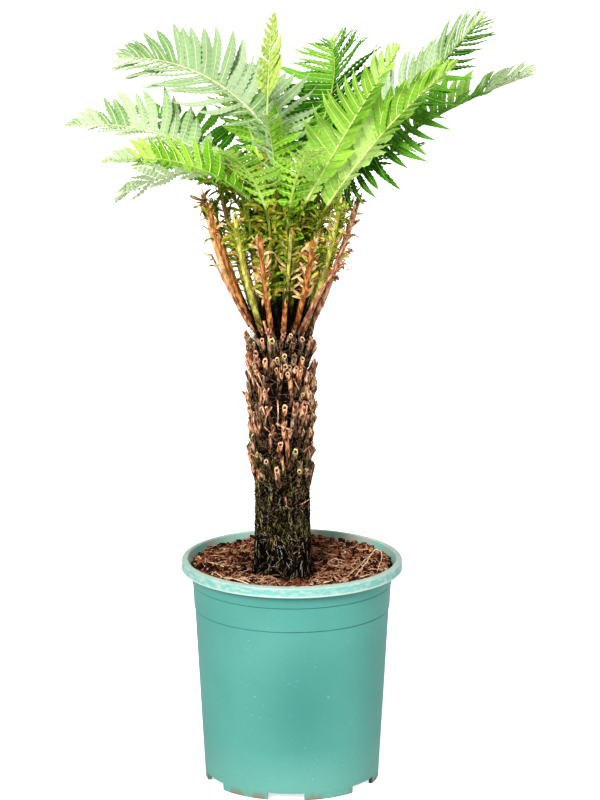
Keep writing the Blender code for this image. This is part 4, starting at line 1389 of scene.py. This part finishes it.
def grow_scraps(rows, name_root):
    """Curled leaflets at the remembered places, dealt out to tones by the limb that they grow on."""
    count = len(rows)
    feet, outward, sideways, lengthwise = (column(rows, part) for part in ScrapSpots._fields[:4])
    along = np.linspace(0.0, 1.0, SCRAP_STEPS)[None]
    rise = chance.normal(0.70, 0.30, (count, 1)) + chance.normal(0.15, 1.2, (count, 1)) * along ** 1.5
    lift = chance.normal(0.10, 0.35, (count, 1)) + chance.normal(0.0, 1.1, (count, 1)) * along
    ways = np.cos(rise)[..., None] * sideways + np.sin(rise)[..., None] * lengthwise
    ways = unit(ways * np.cos(lift)[..., None] + outward * np.sin(lift)[..., None])
    lengths = column(rows, "size") * chance.uniform(0.55, 1.3, (count, 1))
    centres = feet + np.cumsum(ways, axis=1) * (lengths / SCRAP_STEPS)[..., None]
    twist = chance.normal(0.0, 0.5, (count, 1)) + chance.normal(0.0, 0.9, (count, 1)) * along
    flat = unit(np.cross(ways, outward + 0.001 * sideways))
    facing = np.cross(ways, flat)
    across = flat * np.cos(twist)[..., None] + facing * np.sin(twist)[..., None]
    breadths = np.array([SCRAP_WIDTHS[row.tone] for row in rows])[:, None]
    breadths = breadths * chance.uniform(0.7, 1.3, (count, 1))
    widths = np.sin(np.clip(along * 0.90 + 0.10, 0, 1) * math.pi) ** 0.8 * lengths * breadths
    spread = across * (widths + SCRAP_EDGE)[..., None]
    strips = np.stack((centres - spread, centres, centres + spread), axis=2)
    picks = np.array([chance.choice(4, p=SCRAP_DEAL[row.tone]) for row in rows])
    for number, (tone, (dark, light)) in enumerate(SCRAP_TONES.items()):
        name = f"{name_root}_{tone}"
        finish = two_tone(name, crumbs, dark, light, scale=200.0, roughness=0.6, depth=0.0003)
        joined_piece(name, [grid_strips(strips[picks == number])], finish)


for path in dead_paths:
    note_scraps(path, "pink", DEAD_SCRAPS, DEAD_SCRAP_SIZE)
note_scraps(stalk_paths[DEAD_LEAF_STALK], "dead leaf", DEAD_LEAF_PLACES, DEAD_LEAF_SIZE)
grow_scraps(scrap_rows, "stalk_leaflets")

tuft_size = (TUFT_HAIRS, 1)
tuft_turns = chance.uniform(0, math.tau, tuft_size)
tuft_reach = TUFT_REACH * np.sqrt(chance.uniform(0.10, 1.0, tuft_size))
tuft_lengths = chance.uniform(*TUFT_LENGTHS, tuft_size)
tuft_turns = tuft_turns + chance.normal(0.0, 0.35, tuft_size) * hair_steps[None] ** 1.5
tuft_reach = tuft_reach + chance.normal(0.06, 0.22, tuft_size) * tuft_lengths * hair_steps[None]
tuft_paths = np.stack((
    TRUNK_TOP_X + tuft_reach * np.cos(tuft_turns), tuft_reach * np.sin(tuft_turns),
    TRUNK_TOP - 0.002 + tuft_lengths * hair_steps[None] * chance.uniform(0.5, 1.0, tuft_size),
), axis=-1)
tuft_radii = chance.uniform(*TUFT_RADII, tuft_size) * hair_taper
tuft_finish = two_tone("crown_hair", dry_fibre, *TUFT_AND_SHADE_COLOURS, scale=260.0, roughness=0.9, depth=0.0003)
joined_piece("stalk_foot_hair", [round_limbs(tuft_paths, tuft_radii, 3)], tuft_finish)

# Fronds
# Living fronds arch out of the crown, each a stem and then a rib with pointed leaflets on both sides.
# Old ones are dark or silvery, young ones bright; the dark tint also holds painted shade, and the lit
# silver tints hold painted light. A leaflet is joined to the rib by its broad foot, and small curled
# leaflets grow along the stems.
STEM_SIZE = 0.0068
STEM_STRAIGHT = 0.7
STEM_STEPS = 14
BLADE_STEPS = 60
RIB_HALF_WIDTH = 0.0020
TIP_HALF_WIDTH = 0.0004
CROWDING = 1.35
TIP_DRAWN = 0.4
FOOT_LOBE = 0.26
FOOT_COVER = 0.54
FOOT_WEB = 0.07
LOBE_RISE = 2.3
TIP_FALL_POWER = 0.62
TIP_FALL_GAIN = 1.38
FOOT_RINGS = {"heart": 0.003, "inner": 0.0125, "outer": 0.0230}
LeafForm = namedtuple("LeafForm", "spacing fullness foot widest flare ruffle teeth at_foot at_tip")
LEAF_FORMS = {
    "young": LeafForm(0.0128, 1.12, 0.98, 0.34, 0.20, 0.05, 0.02, 60, 26),
    "webbed": LeafForm(0.0118, 1.26, 0.96, 0.44, 0.10, 0.08, 0.02, 56, 24),
    "lobed": LeafForm(0.0150, 0.80, 1.00, 0.28, 0.10, 0.16, 0.03, 58, 40),
    "dense": LeafForm(0.0088, 1.30, 0.80, 0.36, 0.60, 0.20, 0.05, 84, 24),
    "backing": LeafForm(0.0100, 1.15, 0.85, 0.40, 0.40, 0.20, 0.05, 82, 24),
    "plume": LeafForm(0.0098, 0.98, 0.78, 0.38, 0.50, 0.28, 0.08, 80, 20),
    "bright": LeafForm(0.0130, 0.84, 0.92, 0.36, 0.40, 0.14, 0.05, 78, 26),
    "silver": LeafForm(0.0112, 1.02, 0.76, 0.46, 0.60, 0.24, 0.06, 78, 20),
    "mid": LeafForm(0.0118, 0.84, 0.80, 0.34, 0.60, 0.24, 0.06, 84, 24),
    "dark": LeafForm(0.0124, 0.84, 0.78, 0.38, 0.60, 0.20, 0.05, 86, 24),
}
OWN_FORMS = {
    "frond_young_upright": "lobed", "frond_back_right": "dense", "frond_right_high": "plume",
    "frond_right_front": "webbed", "frond_back_left": "backing", "frond_back_inner": "backing",
    "frond_right_back_inner": "backing", "frond_right_inner": "backing", "frond_back": "backing",
}
LeafSide = namedtuple("LeafSide", "tint length width turn drop", defaults=(1.06, 1.0, 1.0, 0))
# The lit silver tints are the silver one with painted light, on leaflets that the lamps leave in shade.
OWN_SIDES = {
    # Painted shade: the dark row on this frond's near side, where its leaflets hang down under the frond in
    # front.
    "frond_right_high": (LeafSide("silver", 1.10, 1.0, 0.66), LeafSide("dark", 1.15, 0.92, 1.32)),
    "frond_right_low": (LeafSide("mid", 1.20, 1.1, 0.85), LeafSide("dark", 0.90, 0.9, 1.0)),
    "frond_left_long": (LeafSide("lit_silver", 1.18, 1.10, 1.15), LeafSide("lit_silver", 0.95, 0.80, 0.80)),
    "frond_back_right": (LeafSide("mid", 1.25, 1.0, 1.25), LeafSide("dark", 1.25, 1.0, 0.95)),
    "frond_front_right": (LeafSide("bright"), LeafSide("bright")),
    "frond_front": (LeafSide("lit_silver"), LeafSide("bright")),
    "frond_back_far_left": (LeafSide("mid"), LeafSide("silver")),
    "frond_back_left": (LeafSide("lit_silver"), LeafSide("mid")),
    "frond_left_low": (LeafSide("brightly_lit_silver", 1.30, 0.9, 0.8), LeafSide("brightly_lit_silver", 1.20, 0.9, 0.8)),
    "frond_left_high": (LeafSide("silver", 1.05, 1.22, 1.0), LeafSide("silver", 1.25, 0.66, 0.80)),
    "frond_left_front": (LeafSide("bright", 1.15, 1.40, 1.35), LeafSide("bright", 1.20, 0.9, 0.8)),
    "frond_right_front": (LeafSide("young", 0.50, 0.9, 1.3, 36), LeafSide("young", 1.30, 1.0, 0.80)),
    "frond_right_young": (LeafSide("bright", 0.60, 1.0, 1.0), LeafSide("young", 1.50, 0.88, 1.0)),
    "frond_young_upright": (LeafSide("tender", 2.6, 0.75, 0.42), LeafSide("tender", 1.70, 1.0, 0.95)),
}
# Past these places the leaflets take the silver tint with painted light.
SILVER_TIPS = {"frond_right_low": 0.72, "frond_left_front": 0.80}
OWN_TIPS = {
    "frond_right_low": 1.6, "frond_right_high": 0.9, "frond_left_long": -0.50, "frond_left_front": -0.30,
}
HAIR_TIPS = {"frond_right_high": 0.022, "frond_right_low": 0.010}
BARE_UNTIL = {"frond_young_upright": 0.42}

# A leaflet is tried at its full length and at shorter ones, flat and lifted, until it is clear of
# its neighbours.
REACHES = (1.0, 0.75, 0.5, 0.3)
LIFTS = (0, 14, -14)
TURN_SPREAD = 4.5
FOLD_SPREAD = 5.5
LENGTH_SPREAD = 0.06
WIDTH_SPREAD = (0.85, 1.12)
FOOT_DEPTH = 0.6
ROOM_START = 0.004
ROOM_SHOULDER = 0.6
ROOM_NARROWED = 0.8
ROOM_LIFT = 0.0012
STEM_ROOM = 0.001
SHADE_RUN = 3
SHADE_SHARES = (0.5, 0.25, 0.25)

# Its blade bows forward, sways, droops and twists, with a channel along the middle and a ruffled,
# toothed edge.
LEAFLET_ROWS = 52
LEAFLET_LANES = np.array((-1.0, -0.6, 0.0, 0.6, 1.0))
BOW = 0.20
BOW_SPREAD = 0.07
SWAY = 0.030
SWAY_WAVES = 1.3
DROOP = 0.16
DROOP_SPREAD = (0.3, 1.6)
TWIST_SPREAD = 0.42
FLARE_REACH = 0.05
CHANNEL = 0.20
RUFFLE_SPACING = 0.0075
TOOTH_LAG = 1.2
MIDRIB_RADIUS = 0.00075
MIDRIB_EVERY = 3
STEM_LEAFLET_PLACES = np.linspace(0.50, 0.98, 30)
STEM_LEAFLET_SIZE = 0.026

# Each frond by its side, foot ring and size: lengths in metres, angles in degrees, leans from upright.
Frond = namedtuple(
    "Frond", "name azimuth ring stem lean_foot lean_blade lean_tip blade half_width roll fold bend tint"
)
FRONDS = (
    Frond("frond_right_high", 4, "outer", 0.180, 12, 35, 43, 0.330, 0.082, -50, 22, 2, "dark"),
    Frond("frond_left_high", 156, "heart", 0.280, -3, 40, 98, 0.250, 0.081, 46, 22, 2, "silver"),
    Frond("frond_left_long", 178, "outer", 0.250, 9, 57, 98, 0.218, 0.068, 26, 22, 2, "silver"),
    Frond("frond_left_front", 220, "outer", 0.190, 3, 49, 93, 0.285, 0.056, 26, 22, 0, "bright"),
    Frond("frond_right_low", 24, "outer", 0.218, 13, 57, 78, 0.318, 0.064, -10, 50, 2, "dark"),
    Frond("frond_right_young", 306, "outer", 0.192, 7, 38, 35, 0.300, 0.052, 32, 22, 18, "young"),
    Frond("frond_right_front", 325, "outer", 0.188, 14, 35, 52, 0.305, 0.064, 16, 48, 0, "young"),
    Frond("frond_left_low", 196, "outer", 0.243, 9, 76, 126, 0.145, 0.052, -40, 22, 0, "silver"),
    Frond("frond_back_right", 54, "inner", 0.235, 10, 36, 72, 0.230, 0.090, 22, 22, 50, "mid"),
    Frond("frond_young_upright", 186, "inner", 0.250, 2, 0, -5, 0.190, 0.020, 80, 22, 0, "tender"),
    Frond("frond_back_left", 84, "inner", 0.225, 9, 24, 85, 0.200, 0.066, 0, 22, 66, "mid"),
    Frond("frond_back", 98, "outer", 0.205, 8, 50, 108, 0.270, 0.066, 0, 22, 0, "mid"),
    Frond("frond_back_far_left", 136, "outer", 0.215, 9, 52, 105, 0.270, 0.066, 0, 22, 0, "silver"),
    Frond("frond_back_far_right", 66, "outer", 0.210, 9, 50, 100, 0.275, 0.066, 0, 22, 0, "dark"),
    Frond("frond_right_back_low", 42, "outer", 0.190, 11, 60, 92, 0.190, 0.062, 0, 22, 0, "dark"),
    Frond("frond_front", 262, "inner", 0.205, 3, 20, 64, 0.170, 0.044, 0, 22, 0, "bright"),
    Frond("frond_front_left", 246, "outer", 0.186, 8, 34, 76, 0.190, 0.046, 0, 22, 0, "bright"),
    Frond("frond_front_right", 284, "outer", 0.186, 8, 32, 74, 0.180, 0.046, 0, 22, 0, "mid"),
    Frond("frond_right_inner", 346, "inner", 0.205, 9, 36, 62, 0.200, 0.056, -40, 22, 0, "dark"),
    Frond("frond_back_left_low", 117, "outer", 0.190, 11, 62, 112, 0.240, 0.060, 0, 22, 0, "dark"),
    Frond("frond_left_back_low", 156, "outer", 0.200, 11, 62, 98, 0.160, 0.060, 10, 22, 0, "mid"),
    Frond("frond_back_inner", 116, "inner", 0.230, 6, 34, 85, 0.190, 0.054, 0, 22, 0, "bright"),
    Frond("frond_right_back_inner", 24, "inner", 0.225, 8, 34, 86, 0.210, 0.056, -10, 22, 0, "mid"),
)
LEAF_SHADES = {
    "young": ((0.330, 0.570, 0.090), (0.440, 0.680, 0.170), (0.240, 0.480, 0.045)),
    "tender": ((0.420, 0.550, 0.135), (0.520, 0.650, 0.215), (0.340, 0.490, 0.090)),
    "bright": ((0.340, 0.650, 0.065), (0.430, 0.720, 0.120), (0.190, 0.460, 0.022)),
    "silver": ((0.295, 0.430, 0.215), (0.380, 0.500, 0.295), (0.205, 0.340, 0.140)),
    # The next two tints are the silver one with painted light, for silver leaflets that lie in shade.
    "lit_silver": ((0.355, 0.510, 0.240), (0.445, 0.590, 0.320), (0.245, 0.405, 0.155)),
    "brightly_lit_silver": ((0.600, 0.760, 0.440), (0.700, 0.840, 0.540), (0.420, 0.620, 0.270)),
    "mid": ((0.160, 0.430, 0.040), (0.330, 0.600, 0.120), (0.060, 0.270, 0.010)),
    # The dark tint is partly the old fronds' own colour and partly painted shade, for leaflets that hang
    # down or lie under other fronds.
    "dark": ((0.052, 0.205, 0.008), (0.125, 0.340, 0.026), (0.010, 0.075, 0.002)),
}
SHADE_NAMES = ("main", "pale", "deep")
RIB_TONES = {
    "young": ((0.640, 0.760, 0.240), (0.800, 0.880, 0.400)),
    "bright": ((0.540, 0.680, 0.180), (0.720, 0.820, 0.340)),
    "silver": ((0.560, 0.620, 0.330), (0.720, 0.760, 0.480)),
    "lit_silver": ((0.620, 0.700, 0.420), (0.780, 0.840, 0.560)),
    "brightly_lit_silver": ((0.640, 0.700, 0.450), (0.780, 0.840, 0.580)),
    "tender": ((0.450, 0.560, 0.150), (0.600, 0.680, 0.270)),
    "mid": ((0.420, 0.560, 0.100), (0.640, 0.740, 0.220)),
    "dark": ((0.170, 0.380, 0.060), (0.330, 0.520, 0.130)),
}


def frond_foot_turns():
    """Spreads the stems evenly round each ring of the crown, in the order of their fronds."""
    turns = {}
    for ring in FOOT_RINGS:
        plans = sorted((plan for plan in FRONDS if plan.ring == ring), key=lambda plan: plan.azimuth)
        step = math.tau / len(plans)
        offsets = [math.radians(plan.azimuth) - rank * step for rank, plan in enumerate(plans)]
        phase = sum(offsets) / len(offsets)
        for rank, plan in enumerate(plans):
            turns[plan.name] = phase + rank * step
    return turns


foot_turns = frond_foot_turns()


def frond_path(plan):
    """The source's rule for a frond, in finer steps: rows of place, azimuth and lean."""
    azimuth = math.radians(plan.azimuth)
    ring = FOOT_RINGS[plan.ring]
    turn = foot_turns[plan.name]
    lean_foot = math.radians(plan.lean_foot)
    rise = STEM_SIZE / 2 * abs(math.sin(lean_foot))
    foot = (TRUNK_TOP_X + ring * math.cos(turn), ring * math.sin(turn), TRUNK_TOP + SEAT_GAP + rise)
    lean_blade = math.radians(plan.lean_blade)
    stem_leans = ((0.0, lean_foot), (STEM_STRAIGHT, lean_foot), (1.0, lean_blade))
    stem = walk(foot, ((0.0, azimuth), (1.0, azimuth)), stem_leans, plan.stem, STEM_STEPS)
    azimuths = ((0.0, azimuth), (1.0, azimuth + math.radians(plan.bend)))
    leans = ((0.0, lean_blade), (1.0, math.radians(plan.lean_tip)))
    return stem[:-1] + walk(stem[-1][0], azimuths, leans, plan.blade, BLADE_STEPS)


def frame_at(azimuth, lean, roll):
    """Along the rib, across the blade and out of its upper face, after the blade's roll."""
    along = direction(azimuth, lean)
    across = Vector((math.sin(azimuth), -math.cos(azimuth), 0.0))
    face = across.cross(along)
    tilted = across * math.cos(roll) + face * math.sin(roll)
    return along, tilted, tilted.cross(along)


def leaflet_share(place):
    """How long a leaflet is at this place on the blade, as a share of the longest."""
    rise = FOOT_LOBE + LOBE_RISE * place
    fall = TIP_FALL_GAIN * max(0.0, 1 - place) ** TIP_FALL_POWER
    return min(rise, fall, 1.0)


def leaflet_room(foot, way, lateral, face, length, half_width):
    """A thin slab that a leaflet fills, to test it against what grew before."""
    shoulder = foot + way * (ROOM_SHOULDER * length)
    narrowed = lateral * half_width * ROOM_NARROWED
    kite = [
        foot - lateral * half_width,
        shoulder - narrowed,
        foot + way * length - face * (DROOP * length),
        shoulder + narrowed,
        foot + lateral * half_width,
    ]
    lift = face * ROOM_LIFT
    count = len(kite)
    points = [corner - lift for corner in kite] + [corner + lift for corner in kite]
    faces = [tuple(range(count)), tuple(range(2 * count - 1, count - 1, -1))]
    faces += [(n, (n + 1) % count, (n + 1) % count + count, n + count) for n in range(count)]
    return points, faces


def tree_of(rooms):
    """One search tree for many slabs."""
    points = []
    faces = []
    for room_points, room_faces in rooms:
        faces += [tuple(corner + len(points) for corner in face) for face in room_faces]
        points += room_points
    return BVHTree.FromPolygons(points, faces)


def fit_leaflet(foot_place, directions, side, forward, fold_most, length_most, half_width):
    """Shortens and lifts a leaflet until it is clear of what grew before: its slab, place and length."""
    middle, rib_radius = foot_place
    along, across, face = directions
    for share in REACHES:
        for lift in LIFTS:
            fold = math.radians(fold_most + lift + chance.normal(0.0, FOLD_SPREAD))
            outward = across * side * math.cos(fold) + face * math.sin(fold)
            way = along * math.cos(forward) + outward * math.sin(forward)
            lateral = along * math.sin(forward) - outward * math.cos(forward)
            foot = middle + outward * rib_radius * FOOT_DEPTH
            length = length_most * share
            start = foot + way * ROOM_START
            room = leaflet_room(start, way, lateral, face, length - ROOM_START, half_width)
            tree = BVHTree.FromPolygons(*room)
            if not any(other.overlap(tree) for other in taken):
                return room, (foot, way, lateral, way.cross(lateral) * -side, face, along, length)
    return None


stalk_points, stalk_faces = round_limbs(stalk_paths, stalk_radii, 6)
stalk_faces = [tuple(face) for part in stalk_faces for face in part.tolist()]
taken = [BVHTree.FromPolygons(stalk_points.tolist(), stalk_faces)]
Leaflet = namedtuple(
    "Leaflet", "foot way lateral normal face rib_way length half_width foot_half form tint shade"
)
leaflets = []
rib_paths = {}
rib_radii = {}
stem_paths = []
stem_radii = []
for plan in FRONDS:
    path = frond_path(plan)
    roll = math.radians(plan.roll)
    radii = []
    rooms = []
    shade = 0
    for step in range(len(path)):
        place = max(0.0, (step - STEM_STEPS) / BLADE_STEPS)
        if step < STEM_STEPS:
            radii.append(STEM_SIZE / 2 + (RIB_HALF_WIDTH - STEM_SIZE / 2) * step / STEM_STEPS)
        else:
            radii.append(RIB_HALF_WIDTH + (TIP_HALF_WIDTH - RIB_HALF_WIDTH) * place)
    rib = [row[0] for row in path[STEM_STEPS:]]
    rib[-1] = rib[-1] + direction(path[-1][1], path[-1][2]) * HAIR_TIPS.get(plan.name, 0.0)
    rib_paths.setdefault(plan.tint, []).append([tuple(point) for point in rib])
    rib_radii.setdefault(plan.tint, []).append(radii[STEM_STEPS:])
    stem_paths.append([tuple(row[0]) for row in path[:STEM_STEPS + 1]])
    stem_radii.append(radii[:STEM_STEPS + 1])

    form = LEAF_FORMS[OWN_FORMS.get(plan.name, plan.tint)]
    plain_side = LeafSide(plan.tint)
    back_side, front_side = OWN_SIDES.get(plan.name, (plain_side, plain_side))
    pairs = round(plan.blade / form.spacing)
    for pair in range(pairs):
        left = 1 - (pair + 0.5) / pairs
        place = 1 - left ** CROWDING
        step = STEM_STEPS + place * BLADE_STEPS
        low = int(step)
        middle = path[low][0].lerp(path[low + 1][0], step - low)
        directions = frame_at(path[low][1], path[low][2], roll)
        if pair % SHADE_RUN == 0:
            shade = int(chance.choice(3, p=SHADE_SHARES))
        spacing = plan.blade / pairs * CROWDING * left ** (CROWDING - 1)
        if place < BARE_UNTIL.get(plan.name, 0.0):
            continue
        share = leaflet_share(place)
        for side in (-1, 1):
            own_side = front_side if directions[1].y * side < 0 else back_side
            turn = form.at_foot + (form.at_tip - form.at_foot) * place ** 1.5
            forward = math.radians(turn * own_side.turn + chance.normal(0.0, TURN_SPREAD))
            half_width = 0.5 * form.fullness * spacing * (0.5 + 0.5 * min(1.0, share * 1.3))
            half_width *= own_side.width * chance.uniform(*WIDTH_SPREAD)
            length = plan.half_width * share * chance.normal(1.0, LENGTH_SPREAD) * own_side.length
            length *= 1 + OWN_TIPS.get(plan.name, TIP_DRAWN) * place ** 5
            tint = "lit_silver" if place > SILVER_TIPS.get(plan.name, 1.0) else own_side.tint
            fold = plan.fold - own_side.drop
            fitted = fit_leaflet((middle, radii[low]), directions, side, forward, fold, length, half_width)
            if fitted:
                rooms.append(fitted[0])
                leaflets.append(Leaflet(*fitted[1], half_width, FOOT_COVER * spacing, form, tint, shade))
    stem_way = path[STEM_STEPS][0] - path[0][0]
    stem_sides = (Vector((1.0, 0.0, 0.0)), Vector((0.0, 1.0, 0.0)))
    stem_room = leaflet_room(path[0][0], stem_way.normalized(), *stem_sides, stem_way.length, STEM_ROOM)
    taken += [tree_of(rooms), BVHTree.FromPolygons(*stem_room)]


def leaflet_sheets(members):
    """Leaflet blades and their midribs: channelled along the middle, ruffled and toothed at the edges."""
    count = len(members)
    foot, way, lateral, normal, face, rib_way, length, half_width, foot_half = (
        column(members, part) for part in Leaflet._fields[:9]
    )
    forms = [leaflet.form for leaflet in members]
    at_foot, widest, flare, ruffle, tooth = (
        column(forms, part) for part in ("foot", "widest", "flare", "ruffle", "teeth")
    )

    along = np.linspace(0.0, 1.0, LEAFLET_ROWS)[None]
    bow = (along ** 2 - along) * length * chance.normal(BOW, BOW_SPREAD, (count, 1))
    sway = SWAY * length * np.sin(math.tau * SWAY_WAVES * along + chance.uniform(0, math.tau, (count, 1)))
    droop = DROOP * length * chance.uniform(*DROOP_SPREAD, (count, 1)) * along ** 2
    centres = foot + way * (length * along)[..., None] + lateral * bow[..., None]
    centres = centres + normal * (sway * along)[..., None] - face * droop[..., None]
    twist = chance.normal(0.0, TWIST_SPREAD, (count, 1)) * along
    across = lateral * np.cos(twist)[..., None] + normal * np.sin(twist)[..., None]
    out = normal * np.cos(twist)[..., None] - lateral * np.sin(twist)[..., None]

    before = np.clip(along / widest, 0.0, 1.0)
    beyond = np.clip((along - widest) / (1 - widest), 0.0, 1.0)
    outline = (at_foot + (1 - at_foot) * before * before * (3 - 2 * before)) * (1 - beyond ** 1.9) ** 1.1
    outline = outline + flare * np.exp(-along / FLARE_REACH)
    web = np.exp(-(along / FOOT_WEB) ** 2)
    width = np.maximum(half_width * outline, foot_half * web)
    across = unit(across * (1 - web)[..., None] + rib_way * web[..., None])

    waves = math.tau * length / RUFFLE_SPACING * along
    phases = chance.uniform(0, math.tau, (count, 1, 2))
    lanes = LEAFLET_LANES[None, None]
    phase = np.where(lanes < 0, phases[..., :1], phases[..., 1:])
    ripple = np.sin(waves[..., None] + phase)
    teeth = 1 + tooth[..., None] * np.sin(waves[..., None] + phase + TOOTH_LAG) * np.abs(lanes) ** 2
    reach = width[..., None] * lanes * teeth
    rise = width[..., None] * (CHANNEL * np.abs(lanes) + ruffle[..., None] * ripple * np.abs(lanes) ** 1.6)
    points = centres[:, :, None] + across[:, :, None] * reach[..., None] + out[:, :, None] * rise[..., None]
    blades = grid_strips(points)

    rib_rows = slice(0, LEAFLET_ROWS, MIDRIB_EVERY)
    rib_centres = centres[:, rib_rows]
    thickness = MIDRIB_RADIUS * np.linspace(1.2, 0.4, rib_centres.shape[1])[None] * np.ones((count, 1))
    rib_skins = np.repeat(thickness[..., None], 4, axis=2)
    return blades, ring_stacks(rib_centres, across[:, rib_rows], out[:, rib_rows], rib_skins)


def leaf_flesh_group():
    """A leaf's skin: its own tint, a little lighter and darker in fine flecks, with their relief."""
    inputs = {"Tint": ("Color", (0.2, 0.5, 0.1, 1.0)), "Scale": ("Float", 380.0)}
    outputs = {"Colour": "Color", "Relief": "Float"}
    tree, given, sent = new_group("leaf_flesh", inputs, outputs)
    noise = own_noise(tree, given.outputs["Scale"], 3.0)
    flecks = add_node(tree, "MapRange", {"Value": noise, "To Min": 0.82, "To Max": 1.18})
    tint = {0: given.outputs["Tint"], "Scale": flecks.outputs["Result"]}
    feed(tree, sent.inputs["Colour"], add_node(tree, "VectorMath", tint, operation="SCALE").outputs[0])
    feed(tree, sent.inputs["Relief"], noise)
    return tree


leaf_flesh = leaf_flesh_group()


def leaf_finish(name, tint):
    """Soft leathery leaf with a low gloss."""
    made, shader = new_finish(name, 0.55, 0.16)
    tree = made.node_tree
    flesh = place_group(tree, leaf_flesh, Tint=(*tint, 1.0))
    feed(tree, shader.inputs["Base Color"], flesh.outputs["Colour"])
    roughen(tree, shader, flesh.outputs["Relief"], 0.0002, 0.6)
    return made


for tint, shades in LEAF_SHADES.items():
    nodes = [plan.name for plan in FRONDS if plan.tint == tint]
    rib_chunks = []
    if nodes:
        rib_chunks.append(round_limbs(np.array(rib_paths[tint]), np.array(rib_radii[tint]), LIMB_SIDES))
    for shade, colour in enumerate(shades):
        members = [leaflet for leaflet in leaflets if leaflet.tint == tint and leaflet.shade == shade]
        if not members:
            continue
        blades, midribs = leaflet_sheets(members)
        rib_chunks.append(midribs)
        name = f"leaflets_{tint}_{SHADE_NAMES[shade]}"
        joined_piece(name, [blades], leaf_finish(name, colour))
    finish = two_tone(f"ribs_{tint}", dry_fibre, *RIB_TONES[tint], scale=90.0, roughness=0.5, depth=0.0002)
    joined_piece(f"frond_ribs_{tint}", rib_chunks, finish, nodes)

stem_tone = AgedTone(
    1.0, 0.55, (0.035, 0.030, 0.008), (0.170, 0.160, 0.035),
    (0.130, 0.190, 0.022), (0.380, 0.450, 0.085),
)
stem_limbs = round_limbs(np.array(stem_paths), np.array(stem_radii), LIMB_SIDES)
stem_finish = aged_finish("frond_stems", stem_tone, scale=200.0)
stem_ages = limb_ages(len(stem_paths), STEM_STEPS + 1, LIMB_SIDES)
joined_piece("frond_stems", [stem_limbs], stem_finish, age=stem_ages)
scrap_rows = []
for path in np.array(stem_paths):
    note_scraps(path, "stem", STEM_LEAFLET_PLACES, STEM_LEAFLET_SIZE)
grow_scraps(scrap_rows, "stem_leaflets")

shown_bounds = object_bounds()
boxes = {"cad": cad_bounds, "shown": shown_bounds}
{name: [list(corner) for corner in box] for name, box in boxes.items()}
